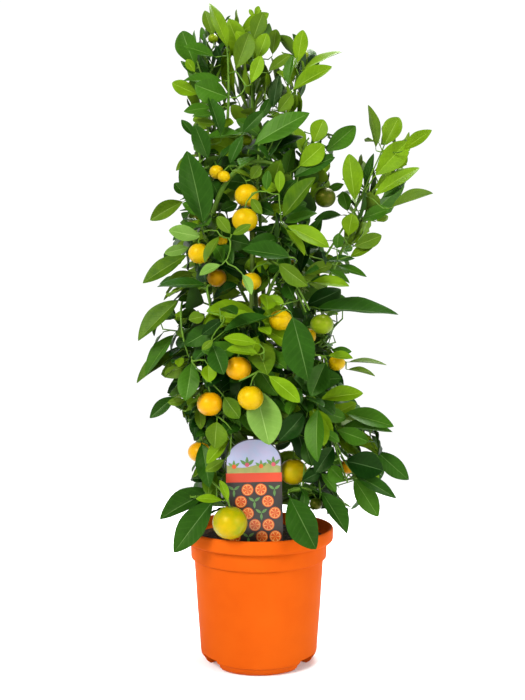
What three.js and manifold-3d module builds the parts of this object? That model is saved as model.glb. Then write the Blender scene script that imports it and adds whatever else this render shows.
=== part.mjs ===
// A calamondin orange tree, 0.84 m tall, growing in an orange nursery pot.
// Millimetres, +Z up, -Y the front, +X the right. The origin is the middle of the pot's flat underside.
import * as THREE from "three";
import { mergeVertices } from "three/addons/utils/BufferGeometryUtils.js";
import Module from "manifold-3d";

const wasm = await Module();
wasm.setup();
const { Manifold } = wasm;

// ---------------------------------------------------------------- driving dimensions

const GAP = 0.35; // clearance between two pieces that meet
const TIDY = 0.02; // edges shorter than this are closed up

// Pot: a moulded nursery pot with a hanging rim, a shoulder under it and four feet.
const POT_SIDES = 32;
const POT_HEIGHT = 168.5;
const RIM_RADIUS = 95;
const RIM_DEPTH = 20;
const SHOULDER_RADIUS = 86.9;
const SHOULDER_DEPTH = 18;
const BODY_TOP_RADIUS = 82.2;
const BODY_FOOT_RADIUS = 74.4;
const FOOT_HEIGHT = 10;
const FOOT_RADIUS = 64.5;
const WALL = 1.9;
const FLOOR = 2.2;
const DRAIN_ANGLES = [55, 125, 235, 305]; // degrees round the pot from its front
const DRAIN_WIDTH = [27, 37]; // at the top and the bottom of a drain arch
const DRAIN_HEIGHT = 11.5;
const DRAIN_DEPTH = 17; // from the pot's side inwards
const DRAIN_HOLE_RADIUS = 3.5;

// Potting soil and the card label that stands in it.
const SOIL_SIDES = 20;
const SOIL_GAP = 0.5; // between the soil and the pot
const SOIL_EDGE = 154; // height of the soil at the wall
const SOIL_CROWN = 158; // and at the trunk
const TREE_TOP = 835;
const LABEL = { width: 71, top: 285, arch: 28, thick: 1, x: -5, y: -58, lean: 3, roll: 1.5 };
const LABEL_SPIKE = { width: 14, depth: 38 };

// Trunk and the five leaders that fork from it. Each runs on a cubic curve from the trunk.
const TRUNK = { foot: [3, 8, SOIL_CROWN + GAP], top: [0, 6, 262], base: 9.5, tip: 7, flare: 12.5 };
const LEADERS = {
  left: { at: 0.66, bends: [[-46, -8, 330], [-70, -14, 520]], to: [-58, -4, 652], base: 5.2, tip: 2.6 },
  centre: { at: 0.97, bends: [[4, 16, 380], [-16, 16, 560]], to: [-8, 6, 660], base: 5.4, tip: 2.6 },
  right: { at: 0.82, bends: [[50, 4, 340], [66, 6, 500]], to: [46, -2, 630], base: 5.2, tip: 2.6 },
  front: { at: 0.56, bends: [[-4, -42, 300], [-14, -70, 420]], to: [-5, -54, 548], base: 4.8, tip: 2.4 },
  back: { at: 0.76, bends: [[8, 58, 320], [10, 78, 440]], to: [2, 56, 556], base: 4.8, tip: 2.4 },
};
const BOUGH = { base: 3.3, tip: 2.5, share: 0.34 }; // the share of the way to the middle of its mass

// Masses of foliage: the middle and the half sizes of each one's space, the limb that it grows on and the share
// of that limb's length where its bough leaves, or none where the limb itself ends in the mass. "pitch" is how
// far its leaves point above the horizon in degrees, and "seed" starts its stream of chance.
function mass(middle, reach, growth) {
  return { middle: new THREE.Vector3(...middle), reach: new THREE.Vector3(...reach), ...growth };
}
const MASSES = {
  tip_left: mass([-70, -4, 750], [50, 56, 96], { on: "left", pitch: 48, seed: 44 }),
  tip_centre: mass([-12, 2, 762], [52, 56, 88], { on: "centre", pitch: 54, seed: 9 }),
  tip_right: mass([52, -2, 734], [60, 56, 86], { on: "right", pitch: 44, seed: 7 }),
  upper_left: mass([-74, -36, 630], [62, 66, 78], { on: "left", at: 0.58, pitch: 0, seed: 31 }),
  upper_front: mass([0, -58, 626], [66, 58, 76], { on: "front", pitch: -4, seed: 2 }),
  upper_right: mass([66, -20, 632], [62, 64, 72], { on: "right", at: 0.6, pitch: 20, seed: 49 }),
  upper_back: mass([2, 58, 634], [72, 58, 80], { on: "back", pitch: 8, seed: 19 }),
  branch_right: mass([160, -4, 604], [70, 62, 108], { on: "right", at: 0.46, pitch: 38, seed: 45 }),
  shoulder_front_left: mass([-78, -46, 512], [74, 68, 76], { on: "left", at: 0.38, pitch: -18, seed: 33 }),
  shoulder_front_right: mass([40, -62, 512], [74, 62, 78], { on: "front", at: 0.66, pitch: -16, seed: 8 }),
  shoulder_back_left: mass([-62, 62, 526], [74, 66, 78], { on: "back", at: 0.62, pitch: -4, seed: 7 }),
  shoulder_back_right: mass([64, 62, 522], [74, 66, 78], { on: "back", at: 0.7, pitch: -4, seed: 46 }),
  middle_left: mass([-92, -14, 402], [72, 76, 80], { on: "left", at: 0.2, pitch: -26, seed: 7 }),
  middle_front: mass([-16, -86, 404], [78, 60, 78], { on: "front", at: 0.42, pitch: -32, seed: 50 }),
  middle_right: mass([92, -18, 410], [78, 72, 78], { on: "right", at: 0.3, pitch: -12, seed: 45 }),
  middle_back: mass([4, 88, 410], [82, 62, 80], { on: "back", at: 0.4, pitch: -20, seed: 44 }),
  low_front_left: mass([-62, -56, 306], [68, 68, 74], { on: "left", at: 0.09, pitch: -40, seed: 43 }),
  low_front_right: mass([48, -68, 322], [72, 62, 74], { on: "front", at: 0.24, pitch: -40, seed: 8 }),
  low_right: mass([120, -6, 304], [72, 74, 74], { on: "right", at: 0.1, pitch: -24, seed: 18 }),
  low_back_left: mass([-66, 60, 304], [72, 68, 74], { on: "back", at: 0.16, pitch: -28, seed: 13 }),
  low_back_right: mass([54, 80, 306], [76, 66, 74], { on: "back", at: 0.24, pitch: -24, seed: 14 }),
  skirt_left: mass([-72, -60, 206], [62, 58, 78], { on: "trunk", at: 0.34, pitch: -46, seed: 45 }),
  skirt_right: mass([62, -60, 216], [64, 60, 88], { on: "trunk", at: 0.44, pitch: -46, seed: 10 }),
  skirt_far_right: mass([128, 12, 218], [68, 70, 72], { on: "trunk", at: 0.36, pitch: -28, seed: 6 }),
  skirt_back: mass([-14, 88, 218], [92, 60, 72], { on: "trunk", at: 0.42, pitch: -30, seed: 20 }),
};

// The growing rule.
const GOLDEN_ANGLE = 137.5;
const TWIGS_PER_MASS = 4;
const TWIG = { base: 1.25, tip: 1, length: [0.22, 0.34] }; // the length as a share of its mass's reach
const STEM_TIP = 1.7;
const BARE_FOOT = { stem: 13, twig: 7 }; // no leaf grows nearer the foot of a shoot
const LEAF_SPACING = 9; // along a shoot
const LEAF_LENGTH = { low: 98, high: 78 }; // a full leaf at the height of the pot's rim and at the tree's top
const LEAF_WIDTH = 0.5; // as a share of the length
const LEAF_THICK = 1.2;
const LEAF_CROWN = 0.2; // where the blade is thickest, as a share of the length
const LEAF_FOLD = 0.3; // how far the margins rise from the midrib, as a share of half the width
const LEAF_DROOP = 0.13; // how far the tip arches down, as a share of the length
const LEAF_APART = 5; // from one blade to the next, and from a blade to a shoot
const TURNS = 9; // tries to fit a leaf or a twig, each turned further round its shoot
const SIZES = [1, 0.86, 0.74, 0.62, 0.5]; // and as often again in each smaller size

// Fruit: where its middle hangs and its radius. Those at the back are the same, turned round the trunk.
const FRUITS = [
  [-52, -45, 612, 8.6], [-43, -56, 603, 7.5], [-14, -76, 577, 14.5], [-16, -88, 546, 15.3], [-73, -75, 508, 13],
  [-55, -40, 481, 12], [-8, -84, 474, 11.5], [26, -92, 428, 13.5], [60, -36, 410, 11], [76, -68, 424, 14],
  [82, -40, 581, 13], [-23, -112, 372, 15], [-57, -96, 330, 15], [-9, -112, 338, 15], [96, -44, 377, 10.5],
  [-76, -58, 269, 14], [42, -34, 242, 15.5], [-35, -92, 192, 20.5], [-58, -10, 788, 6.5], [70, -50, 205, 8],
  [113, -10, 245, 10], [-16, -36, 653, 8], [-44, -60, 525, 8],
];
const BACK_FRUITS = { every: 4, turn: 180, drop: 14 };
const STALK = { radius: 0.7, longest: 56 };

// ---------------------------------------------------------------- small helpers

const UP = new THREE.Vector3(0, 0, 1);
const FRONT = new THREE.Vector3(0, -1, 0);
const radians = THREE.MathUtils.degToRad;
const vector = (triple) => new THREE.Vector3(...triple);

// A repeatable stream of numbers from 0 to 1 (the mulberry32 rule).
function seeded(seed) {
  let state = seed >>> 0;
  return () => {
    state = (state + 0x6d2b79f5) >>> 0;
    let mixed = Math.imul(state ^ (state >>> 15), state | 1);
    mixed ^= mixed + Math.imul(mixed ^ (mixed >>> 7), mixed | 61);
    return ((mixed ^ (mixed >>> 14)) >>> 0) / 4294967296;
  };
}

// A closed three.js geometry as a manifold-3d solid.
function solid(geometry) {
  const bare = geometry.clone();
  bare.deleteAttribute("normal");
  bare.deleteAttribute("uv");
  const merged = mergeVertices(bare, 1e-4);
  return new Manifold(
    new wasm.Mesh({
      numProp: 3,
      vertProperties: new Float32Array(merged.attributes.position.array),
      triVerts: new Uint32Array(merged.index.array),
    }),
  );
}

// A manifold-3d solid as a three.js geometry. Of several loose bodies only the largest is kept.
function geometryOf(made) {
  const bodies = made.simplify(TIDY).decompose().sort((a, b) => b.volume() - a.volume());
  const mesh = bodies[0].getMesh();
  const geometry = new THREE.BufferGeometry();
  geometry.setAttribute("position", new THREE.BufferAttribute(new Float32Array(mesh.vertProperties), 3));
  geometry.setIndex(new THREE.BufferAttribute(new Uint32Array(mesh.triVerts), 1));
  geometry.computeVertexNormals();
  return geometry;
}

// A named mesh in its own plain material.
function piece(name, made, colour, roughness = 0.6) {
  const material = new THREE.MeshStandardMaterial({ color: colour, roughness, metalness: 0 });
  const mesh = new THREE.Mesh(made.isBufferGeometry ? made : geometryOf(made), material);
  mesh.name = name;
  return mesh;
}

// A solid turned about the Z axis. Its outline of [radius, height] runs up from the axis and back to it.
function turned(outline, sides) {
  const lathe = new THREE.LatheGeometry(outline.map(([r, z]) => new THREE.Vector2(r, z)), sides);
  return solid(lathe.rotateX(Math.PI / 2));
}

// ---------------------------------------------------------------- pot, soil and label

const SHOULDER_TOP = POT_HEIGHT - RIM_DEPTH;
const BODY_TOP = SHOULDER_TOP - SHOULDER_DEPTH;

// The pot's outer side from the middle of its underside to the top of its rim.
const potOutside = [
  [0, 0],
  [FOOT_RADIUS, 0],
  [FOOT_RADIUS + 5.8, FOOT_HEIGHT],
  [BODY_FOOT_RADIUS - 1.4, FOOT_HEIGHT + 3],
  [BODY_FOOT_RADIUS, FOOT_HEIGHT + 10],
  [BODY_TOP_RADIUS, BODY_TOP - 2],
  [SHOULDER_RADIUS - 0.6, BODY_TOP + 1],
  [SHOULDER_RADIUS, SHOULDER_TOP],
  [RIM_RADIUS, SHOULDER_TOP + 1.5],
  [RIM_RADIUS, POT_HEIGHT - 1.6],
  [RIM_RADIUS - 1.4, POT_HEIGHT],
];

// Its inner side from the floor up to the rim, less a clearance for what fills it.
const potInside = (clearance) =>
  [
    [0, FLOOR],
    [FOOT_RADIUS - 2, FLOOR],
    [FOOT_RADIUS + 3, FOOT_HEIGHT],
    [BODY_FOOT_RADIUS - WALL, FOOT_HEIGHT + 10],
    [BODY_TOP_RADIUS - WALL, BODY_TOP - 3],
    [SHOULDER_RADIUS - WALL - 0.6, BODY_TOP + 1],
    [SHOULDER_RADIUS - WALL, SHOULDER_TOP + 1.6],
    [RIM_RADIUS - 4.2, SHOULDER_TOP + 2.8],
    [RIM_RADIUS - 3.2, POT_HEIGHT],
  ].map(([r, z]) => [Math.max(r - clearance, 0), z + clearance]);

// An arch that runs in from the pot's side, as a solid "grow" larger all round.
function drainArch(angle, grow) {
  const [top, bottom] = DRAIN_WIDTH.map((width) => width / 2 + grow);
  const arch = new THREE.Shape();
  arch.moveTo(-bottom, -1 - grow);
  arch.lineTo(bottom, -1 - grow);
  arch.lineTo(top, DRAIN_HEIGHT + grow);
  arch.lineTo(-top, DRAIN_HEIGHT + grow);
  const depth = DRAIN_DEPTH + grow + 10;
  const geometry = new THREE.ExtrudeGeometry(arch, { depth, bevelEnabled: false });
  geometry.rotateX(Math.PI / 2); // the arch now stands up and runs towards the front
  geometry.translate(0, -(BODY_FOOT_RADIUS - DRAIN_DEPTH - grow), 0);
  geometry.rotateZ(radians(angle));
  return solid(geometry);
}

function potSolid() {
  const outside = turned([...potOutside, [0, POT_HEIGHT]], POT_SIDES);
  const above = POT_HEIGHT + 5;
  const hollow = turned([...potInside(0), [RIM_RADIUS - 2.9, above], [0, above]], POT_SIDES);
  let pot = outside.subtract(hollow);
  for (const angle of DRAIN_ANGLES) {
    pot = pot.add(drainArch(angle, WALL).intersect(outside));
  }
  for (const angle of DRAIN_ANGLES) {
    const hole = new THREE.CylinderGeometry(DRAIN_HOLE_RADIUS, DRAIN_HOLE_RADIUS, 10, 6);
    hole.rotateX(Math.PI / 2).translate(0, -(FOOT_RADIUS - 2), DRAIN_HEIGHT).rotateZ(radians(angle));
    pot = pot.subtract(drainArch(angle, 0)).subtract(solid(hole));
  }
  return pot;
}

// The card, upright at the origin with its foot at height 0: a spike, a panel and an arched top.
function labelGeometry(grow) {
  const half = LABEL.width / 2 + grow;
  const spike = LABEL_SPIKE.width / 2 + grow;
  const height = LABEL.top - SOIL_EDGE;
  const card = new THREE.Shape();
  card.moveTo(-spike, -LABEL_SPIKE.depth - grow);
  card.lineTo(spike, -LABEL_SPIKE.depth - grow);
  card.lineTo(spike, 0);
  card.lineTo(half, 2);
  card.lineTo(half, height - LABEL.arch);
  card.absellipse(0, height - LABEL.arch, half, LABEL.arch + grow, 0, Math.PI, false, 0);
  card.lineTo(-half, 2);
  card.lineTo(-spike, 0);
  const depth = LABEL.thick + 2 * grow;
  const geometry = new THREE.ExtrudeGeometry(card, { depth, bevelEnabled: false, curveSegments: 8 });
  geometry.translate(0, 0, -depth / 2).rotateX(Math.PI / 2);
  return geometry;
}

// Puts something made at the origin where the label stands.
function atLabel(object) {
  object.position.set(LABEL.x, LABEL.y, SOIL_EDGE + 2);
  object.rotation.set(radians(-LABEL.lean), radians(LABEL.roll), 0);
  object.updateMatrix();
  return object;
}

// The soil fills the pot from its floor, and from the roofs of the drain arches at the side.
function soilSolid() {
  const step = BODY_FOOT_RADIUS - DRAIN_DEPTH - 2 * WALL - SOIL_GAP;
  const overArches = DRAIN_HEIGHT + WALL + SOIL_GAP;
  const side = potInside(SOIL_GAP).filter(([, z]) => z > overArches && z < SOIL_EDGE - 1);
  const floor = FLOOR + SOIL_GAP;
  const foot = [[0, floor], [step, floor], [step, overArches], [side[0][0] - 4, overArches]];
  const surface = [[side.at(-1)[0] + 0.1, SOIL_EDGE], [60, SOIL_CROWN - 1.5], [0, SOIL_CROWN]];
  const slot = atLabel(new THREE.Mesh(labelGeometry(GAP)));
  const soil = turned([...foot, ...side, ...surface], SOIL_SIDES);
  return soil.subtract(solid(slot.geometry.applyMatrix4(slot.matrix)));
}

// ---------------------------------------------------------------- limbs

// A round limb that tapers along a curve, as a cylinder bent on to it.
function limbSolid(curve, base, tip, sides, rings) {
  const tube = new THREE.CylinderGeometry(tip, base, 1, sides, rings).translate(0, 0.5, 0);
  const frames = curve.computeFrenetFrames(rings);
  const places = curve.getSpacedPoints(rings);
  const points = tube.attributes.position;
  for (let i = 0; i < points.count; i++) {
    const ring = Math.round(points.getY(i) * rings);
    const place = places[ring].clone();
    place.addScaledVector(frames.normals[ring], points.getX(i));
    place.addScaledVector(frames.binormals[ring], -points.getZ(i));
    points.setXYZ(i, place.x, place.y, place.z);
  }
  return solid(tube);
}

// What a limb leaves no other piece room for: itself, a clearance larger all round.
function clearanceRound(curve, base, tip, sides, rings) {
  const start = curve.getPoint(0).addScaledVector(curve.getTangent(0), -GAP);
  const end = curve.getPoint(1).addScaledVector(curve.getTangent(1), GAP);
  const points = [start, ...curve.getSpacedPoints(rings).slice(1, -1), end];
  const longer = new THREE.CatmullRomCurve3(points);
  return limbSolid(longer, base + GAP, tip + GAP, sides, rings);
}

// Straight pieces of a limb, with a radius each, that leaves and fruit keep clear of.
function obstacles(curve, base, tip, steps, owner) {
  const points = Array.from({ length: steps + 1 }, (_, i) => curve.getPoint(i / steps));
  return points.slice(1).map((end, i) => {
    return { owner, start: points[i], end, radius: base + ((tip - base) * i) / steps };
  });
}

const blocked = []; // obstacles of every limb and main stem

const trunkCurve = new THREE.LineCurve3(vector(TRUNK.foot), vector(TRUNK.top));
function trunkSolid() {
  const shaft = limbSolid(trunkCurve, TRUNK.base, TRUNK.tip, 8, 3);
  const flareTop = trunkCurve.getPoint(0.22);
  const flare = new THREE.LineCurve3(vector(TRUNK.foot), flareTop);
  const cutLevel = new THREE.BoxGeometry(80, 80, 40).translate(...TRUNK.foot).translate(0, 0, -20);
  return shaft.add(limbSolid(flare, TRUNK.flare, TRUNK.base * 0.9, 8, 2)).subtract(solid(cutLevel));
}

// The trunk and the leaders, each leader cut clear of those before it.
const trunkRoom = clearanceRound(trunkCurve, TRUNK.base, TRUNK.tip, 8, 3);
const limbs = { trunk: { curve: trunkCurve, tip: TRUNK.tip, room: trunkRoom, made: trunkSolid() } };
for (const [name, { at, bends, to, base, tip }] of Object.entries(LEADERS)) {
  const curve = new THREE.CubicBezierCurve3(trunkCurve.getPoint(at), ...bends.map(vector), vector(to));
  const taken = Manifold.union(Object.values(limbs).map((limb) => limb.room));
  const room = clearanceRound(curve, base, tip, 6, 7);
  limbs[name] = { curve, tip, room, made: limbSolid(curve, base, tip, 6, 7).subtract(taken) };
  blocked.push(...obstacles(curve, base, tip, 12, name));
}
blocked.push(...obstacles(trunkCurve, TRUNK.base, TRUNK.tip, 2, "trunk"));
const limbRooms = Manifold.union(Object.values(limbs).map((limb) => limb.room));

// A bough runs from its limb to the near side of its mass.
function boughCurve(mass) {
  const from = limbs[mass.on].curve.getPoint(mass.at);
  const root = from.clone().lerp(mass.middle, BOUGH.share);
  const reach = root.distanceTo(from);
  const bend = from.clone().lerp(root, 0.5).addScaledVector(UP, -0.16 * reach);
  return new THREE.QuadraticBezierCurve3(from, bend, root);
}

// ---------------------------------------------------------------- the growing rule

const masses = Object.entries(MASSES).map(([name, mass]) => ({ name, ...mass }));

// Whether a point is inside a mass's own space, by a margin from the spaces next to it. The spaces are
// ellipsoids, and the plane midway between two middles parts any two that meet.
function inSpace(mass, point, margin, share = 1) {
  const away = point.clone().sub(mass.middle);
  if (away.clone().divide(mass.reach).length() > share) {
    return false;
  }
  return masses.every((other) => {
    if (other === mass) {
      return true;
    }
    const across = other.middle.clone().sub(mass.middle);
    return across.length() / 2 - away.dot(across) / across.length() >= margin;
  });
}

// Whether a ball of this radius at a point is clear of the limbs of others, the label and the pot.
function inTheClear(point, radius, owner) {
  if (point.z < POT_HEIGHT + 1.5 + radius && Math.hypot(point.x, point.y) < RIM_RADIUS + 1.5 + radius) {
    return false;
  }
  const labelFront = LABEL.y + (point.z - SOIL_EDGE) * Math.sin(radians(LABEL.lean));
  const besideLabel = Math.abs(point.x - LABEL.x) > LABEL.width / 2 + 6 + radius;
  if (!besideLabel && point.z < LABEL.top + 6 && Math.abs(point.y - labelFront) < 6 + radius) {
    return false;
  }
  const near = new THREE.Vector3();
  const line = new THREE.Line3();
  return blocked.every((limb) => {
    if (limb.owner === owner) {
      return true;
    }
    line.set(limb.start, limb.end).closestPointToPoint(point, true, near);
    return near.distanceTo(point) >= radius + limb.radius;
  });
}

// A point of a leaf's blade: "along" from 0 at the root to 1 at the tip, "across" from -0.5 to 0.5.
function onBlade(leaf, along, across) {
  const side = new THREE.Vector3().crossVectors(leaf.heading, leaf.normal);
  const rise = LEAF_FOLD * Math.abs(across) * leaf.width - LEAF_DROOP * leaf.length * along * along;
  return leaf.root
    .clone()
    .addScaledVector(leaf.heading, along * leaf.length)
    .addScaledVector(side, across * leaf.width)
    .addScaledVector(leaf.normal, rise);
}

// The blade's outline after its root, the points that tell where it lies, and the widest share of it.
const HIPS = 0.36;
const SHOULDERS = 0.7;
const OUTLINE = [[HIPS, -0.5], [HIPS, 0.5], [SHOULDERS, -0.42], [SHOULDERS, 0.42], [1, 0]];
const FIELD = [0.24, 0.37, 0.5, 0.63, 0.76, 0.88].flatMap((along) => {
  const half = along < HIPS ? 0.3 : 0.46 - 0.8 * Math.max(along - 0.6, 0);
  return [-1, -0.5, 0, 0.5, 1].map((share) => [along, share * half]);
});
FIELD.unshift([0.06, 0], [0.14, 0]);
FIELD.push([1, 0]);

// Whether a leaf stays in its mass's space and off everything that is there already.
function leafFits(mass, leaf) {
  if (!OUTLINE.every(([along, across]) => inSpace(mass, onBlade(leaf, along, across), 1))) {
    return false;
  }
  leaf.field = FIELD.map(([along, across]) => onBlade(leaf, along, across));
  return leaf.field.every((point, i) => {
    const offFruit = mass.fruits.every((fruit) => fruit.middle.distanceTo(point) > fruit.radius + 3);
    const offLeaves = mass.leaves.every((other) => isOff(point, other.field));
    const offShoots = i < 2 || isOff(point, mass.wood);
    return offFruit && offLeaves && offShoots && inTheClear(point, 4.5, mass.name);
  });
}

const isOff = (point, others) => others.every((other) => other.distanceTo(point) > LEAF_APART);

// A direction square to a shoot, turned round it by an angle in degrees.
function sideOf(axis, angle) {
  const side = new THREE.Vector3().crossVectors(axis, Math.abs(axis.z) > 0.9 ? FRONT : UP).normalize();
  return side.applyAxisAngle(axis, radians(angle));
}

// The tries to fit something: every turn round its shoot in each size.
const TRIES = SIZES.flatMap((size) => Array.from({ length: TURNS }, (_, i) => [size, (i * 360) / TURNS]));

// Tries a leaf at a point of a shoot until it fits. Nothing grows if it never does.
function growLeaf(mass, shoot, along, count, rand) {
  const [wander, spread, size, roll] = [rand() - 0.5, rand() - 0.5, rand(), rand() - 0.5];
  const root = shoot.curve.getPoint(along);
  const axis = shoot.curve.getTangent(along);
  const out = new THREE.Vector3(root.x, root.y, 0).normalize();
  const { low, high } = LEAF_LENGTH;
  const full = THREE.MathUtils.mapLinear(mass.middle.z, POT_HEIGHT, TREE_TOP, low, high);
  for (const [share, turn] of TRIES) {
    const side = sideOf(axis, count * GOLDEN_ANGLE + wander * 50 + turn);
    const lean = side.clone().addScaledVector(axis, 0.5).addScaledVector(out, 0.6);
    const pitch = radians(mass.pitch + 50 * spread + 24 * side.z + 30 * (along - 0.5));
    const level = new THREE.Vector3(lean.x, lean.y, 0).normalize();
    const heading = level.multiplyScalar(Math.cos(pitch)).addScaledVector(UP, Math.sin(pitch));
    const sky = new THREE.Vector3(0, -0.25, 0.5).addScaledVector(out, 0.75);
    const normal = sky.addScaledVector(heading, -sky.dot(heading)).normalize();
    normal.applyAxisAngle(heading, radians(roll * 80));
    const length = full * (0.78 + 0.4 * size) * share;
    const leaf = { root, heading, normal, length, width: length * LEAF_WIDTH };
    if (Math.abs(heading.dot(axis)) < 0.86 && leafFits(mass, leaf)) {
      mass.leaves.push(leaf);
      return;
    }
  }
}

// The main stem of a mass: it goes on from the tip of its bough or leader and through the mass's middle.
function mainStem(mass) {
  const carrier = mass.at === undefined ? limbs[mass.on].curve : mass.bough.curve;
  const radius = mass.at === undefined ? limbs[mass.on].tip : BOUGH.tip;
  const forward = carrier.getTangent(1);
  const start = carrier.getPoint(1).addScaledVector(forward, GAP);
  const onward = mass.middle.clone().sub(start);
  const end = mass.middle.clone().addScaledVector(onward, 0.2).addScaledVector(UP, mass.reach.z * 0.12);
  const bend = start.clone().addScaledVector(forward, start.distanceTo(end) * 0.45);
  return { curve: new THREE.QuadraticBezierCurve3(start, bend, end), base: radius, tip: STEM_TIP };
}

// A twig off the main stem, turned and shortened until its end stays near the middle of the mass's space.
function growTwig(mass, index, rand) {
  const [wander, size] = [rand() - 0.5, rand()];
  const along = 0.25 + (0.65 * index) / (TWIGS_PER_MASS - 1);
  const start = mass.stem.curve.getPoint(along);
  const axis = mass.stem.curve.getTangent(along);
  const full = THREE.MathUtils.lerp(...TWIG.length, size) * mass.reach.length();
  for (const [share, turn] of TRIES) {
    const side = sideOf(axis, index * GOLDEN_ANGLE + wander * 60 + turn);
    const heading = side.addScaledVector(axis, 0.45).addScaledVector(UP, 0.2).normalize();
    const end = start.clone().addScaledVector(heading, full * share);
    const curve = new THREE.LineCurve3(start, end);
    const clear = curve.getPoints(5).slice(1).every((point) => inTheClear(point, 4, mass.name));
    if (clear && inSpace(mass, end, 6, 0.72)) {
      return { curve, ...TWIG };
    }
  }
  return null;
}

// Leaves all along a shoot, at even spaces.
function growLeaves(mass, shoot, rand) {
  const length = shoot.curve.getLength();
  const foot = shoot === mass.stem ? BARE_FOOT.stem : BARE_FOOT.twig;
  const count = Math.floor((length - foot) / LEAF_SPACING);
  for (let i = 0; i <= count; i++) {
    growLeaf(mass, shoot, i === count ? 0.97 : (foot + i * LEAF_SPACING) / length, i, rand);
  }
}

// Moves a fruit into the space of the mass that it is nearest to the middle of.
function settleFruit([x, y, z, radius]) {
  const middle = new THREE.Vector3(x, y, z);
  const nearest = masses.reduce((best, mass) => {
    return middle.distanceTo(mass.middle) < middle.distanceTo(best.middle) ? mass : best;
  });
  for (let pass = 0; pass < 6; pass++) {
    for (const other of masses.filter((mass) => mass !== nearest)) {
      const across = other.middle.clone().sub(nearest.middle);
      const room = across.length() / 2 - middle.clone().sub(nearest.middle).dot(across) / across.length();
      const short = radius + 1 - room;
      if (short > 0) {
        middle.addScaledVector(across.normalize(), -short);
      }
    }
  }
  return { mass: nearest, middle, radius };
}

function allFruits() {
  const about = new THREE.Vector3();
  const back = FRUITS.filter((_, i) => i % BACK_FRUITS.every === 0).map(([x, y, z, radius]) => {
    about.set(x, y, z - BACK_FRUITS.drop).applyAxisAngle(UP, radians(BACK_FRUITS.turn));
    return [about.x, about.y, about.z, radius];
  });
  return [...FRUITS, ...back.filter(([, , z]) => z > POT_HEIGHT + 40)].map(settleFruit);
}

// ---------------------------------------------------------------- foliage solids

function leafSolid(leaf) {
  const blade = new THREE.SphereGeometry(1, 6, 2); // a six-sided blade with a crown on each face
  const points = blade.attributes.position;
  for (let i = 0; i < points.count; i++) {
    const lengthwise = points.getX(i);
    const sideways = Math.sign(Math.round(points.getZ(i)));
    const along = [0, HIPS, LEAF_CROWN, SHOULDERS, 1][Math.round(lengthwise * 2) + 2];
    const place = onBlade(leaf, along, sideways * (along === HIPS ? 0.5 : 0.42));
    place.addScaledVector(leaf.normal, (Math.round(points.getY(i)) * LEAF_THICK) / 2);
    points.setXYZ(i, place.x, place.y, place.z);
  }
  return solid(blade);
}

// A fruit and the stalk that it hangs by.
function fruitSolids(fruit) {
  const ball = new THREE.SphereGeometry(fruit.radius, 8, 4).rotateY(Math.PI / 8);
  const stalk = new THREE.LineCurve3(fruit.hold, fruit.middle.clone().addScaledVector(UP, fruit.radius * 0.6));
  return [solid(ball.translate(...fruit.middle.toArray())), limbSolid(stalk, STALK.radius, STALK.radius, 3, 1)];
}

for (const mass of masses) {
  if (mass.at !== undefined) {
    mass.bough = { curve: boughCurve(mass) };
    const { curve } = mass.bough;
    mass.bough.made = limbSolid(curve, BOUGH.base, BOUGH.tip, 4, 2).subtract(limbRooms);
    blocked.push(...obstacles(curve, BOUGH.base, BOUGH.tip, 4, mass.name + "_bough"));
  }
  mass.stem = mainStem(mass);
  blocked.push(...obstacles(mass.stem.curve, mass.stem.base, mass.stem.tip, 4, mass.name));
}

// Hangs a fruit from the nearest point of its mass's shoots, better one above it. True if there is one in reach.
function hang(fruit, shoots) {
  const crown = fruit.middle.clone().addScaledVector(UP, fruit.radius);
  const cost = (point) => point.distanceTo(crown) + Math.max(crown.z - point.z, 0);
  const holds = shoots.flatMap((shoot) => shoot.curve.getPoints(12).slice(2));
  fruit.hold = holds.reduce((best, point) => (cost(point) < cost(best) ? point : best));
  return fruit.hold.distanceTo(crown) < STALK.longest;
}

// Grows the twigs and leaves of one mass, round its fruit.
function grow(mass) {
  const rand = seeded(mass.seed);
  mass.twigs = Array.from({ length: TWIGS_PER_MASS }, (_, i) => growTwig(mass, i, rand)).filter(Boolean);
  mass.shoots = [...mass.twigs, mass.stem];
  mass.fruits = fruits.filter((fruit) => fruit.mass === mass && hang(fruit, mass.shoots));
  mass.wood = mass.shoots.flatMap((shoot) => shoot.curve.getPoints(5));
  mass.leaves = [];
  for (const shoot of mass.shoots) {
    growLeaves(mass, shoot, rand);
  }
}

// Everything in a mass, fused.
function massSolid(mass) {
  return Manifold.union([
    limbSolid(mass.stem.curve, mass.stem.base, mass.stem.tip, 4, 3).subtract(limbRooms),
    ...mass.twigs.map((twig) => limbSolid(twig.curve, twig.base, twig.tip, 3, 1)),
    ...mass.leaves.map(leafSolid),
    ...mass.fruits.flatMap(fruitSolids),
  ]);
}

const fruits = allFruits();
masses.forEach(grow);

// ---------------------------------------------------------------- the tree in its pot

const COLOURS = {
  pot: 0xff6a14,
  soil: 0x2a1d14,
  label: 0xe8502a,
  bark: 0x6b5a33,
  bough: 0x5c7a2c,
  leaf: 0x3f7d24,
};

const plant = new THREE.Group();
for (const [name, limb] of Object.entries(limbs)) {
  plant.add(piece(name === "trunk" ? name : `leader_${name}`, limb.made, COLOURS.bark, 0.8));
}
for (const mass of masses) {
  if (mass.bough) {
    plant.add(piece(`bough_${mass.name}`, mass.bough.made, COLOURS.bough, 0.7));
  }
  plant.add(piece(`foliage_${mass.name}`, massSolid(mass), COLOURS.leaf, 0.4));
}

const potted = new THREE.Group();
potted.add(piece("pot", potSolid(), COLOURS.pot, 0.4), piece("soil", soilSolid(), COLOURS.soil, 0.95));
potted.add(atLabel(piece("label", labelGeometry(0), COLOURS.label, 0.3)));

const calamondin = new THREE.Group();
calamondin.name = "calamondin";
calamondin.add(potted, plant);
export default calamondin;
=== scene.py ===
"""A calamondin orange tree in an orange nursery pot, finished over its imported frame.

The pot, its soil, the card label, the bark, the twigs, the leaves and the fruit are built here, the plant by
the same growing rule as its solids. Lengths are millimetres until a mesh is made, and metres from then on.
"""

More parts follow.
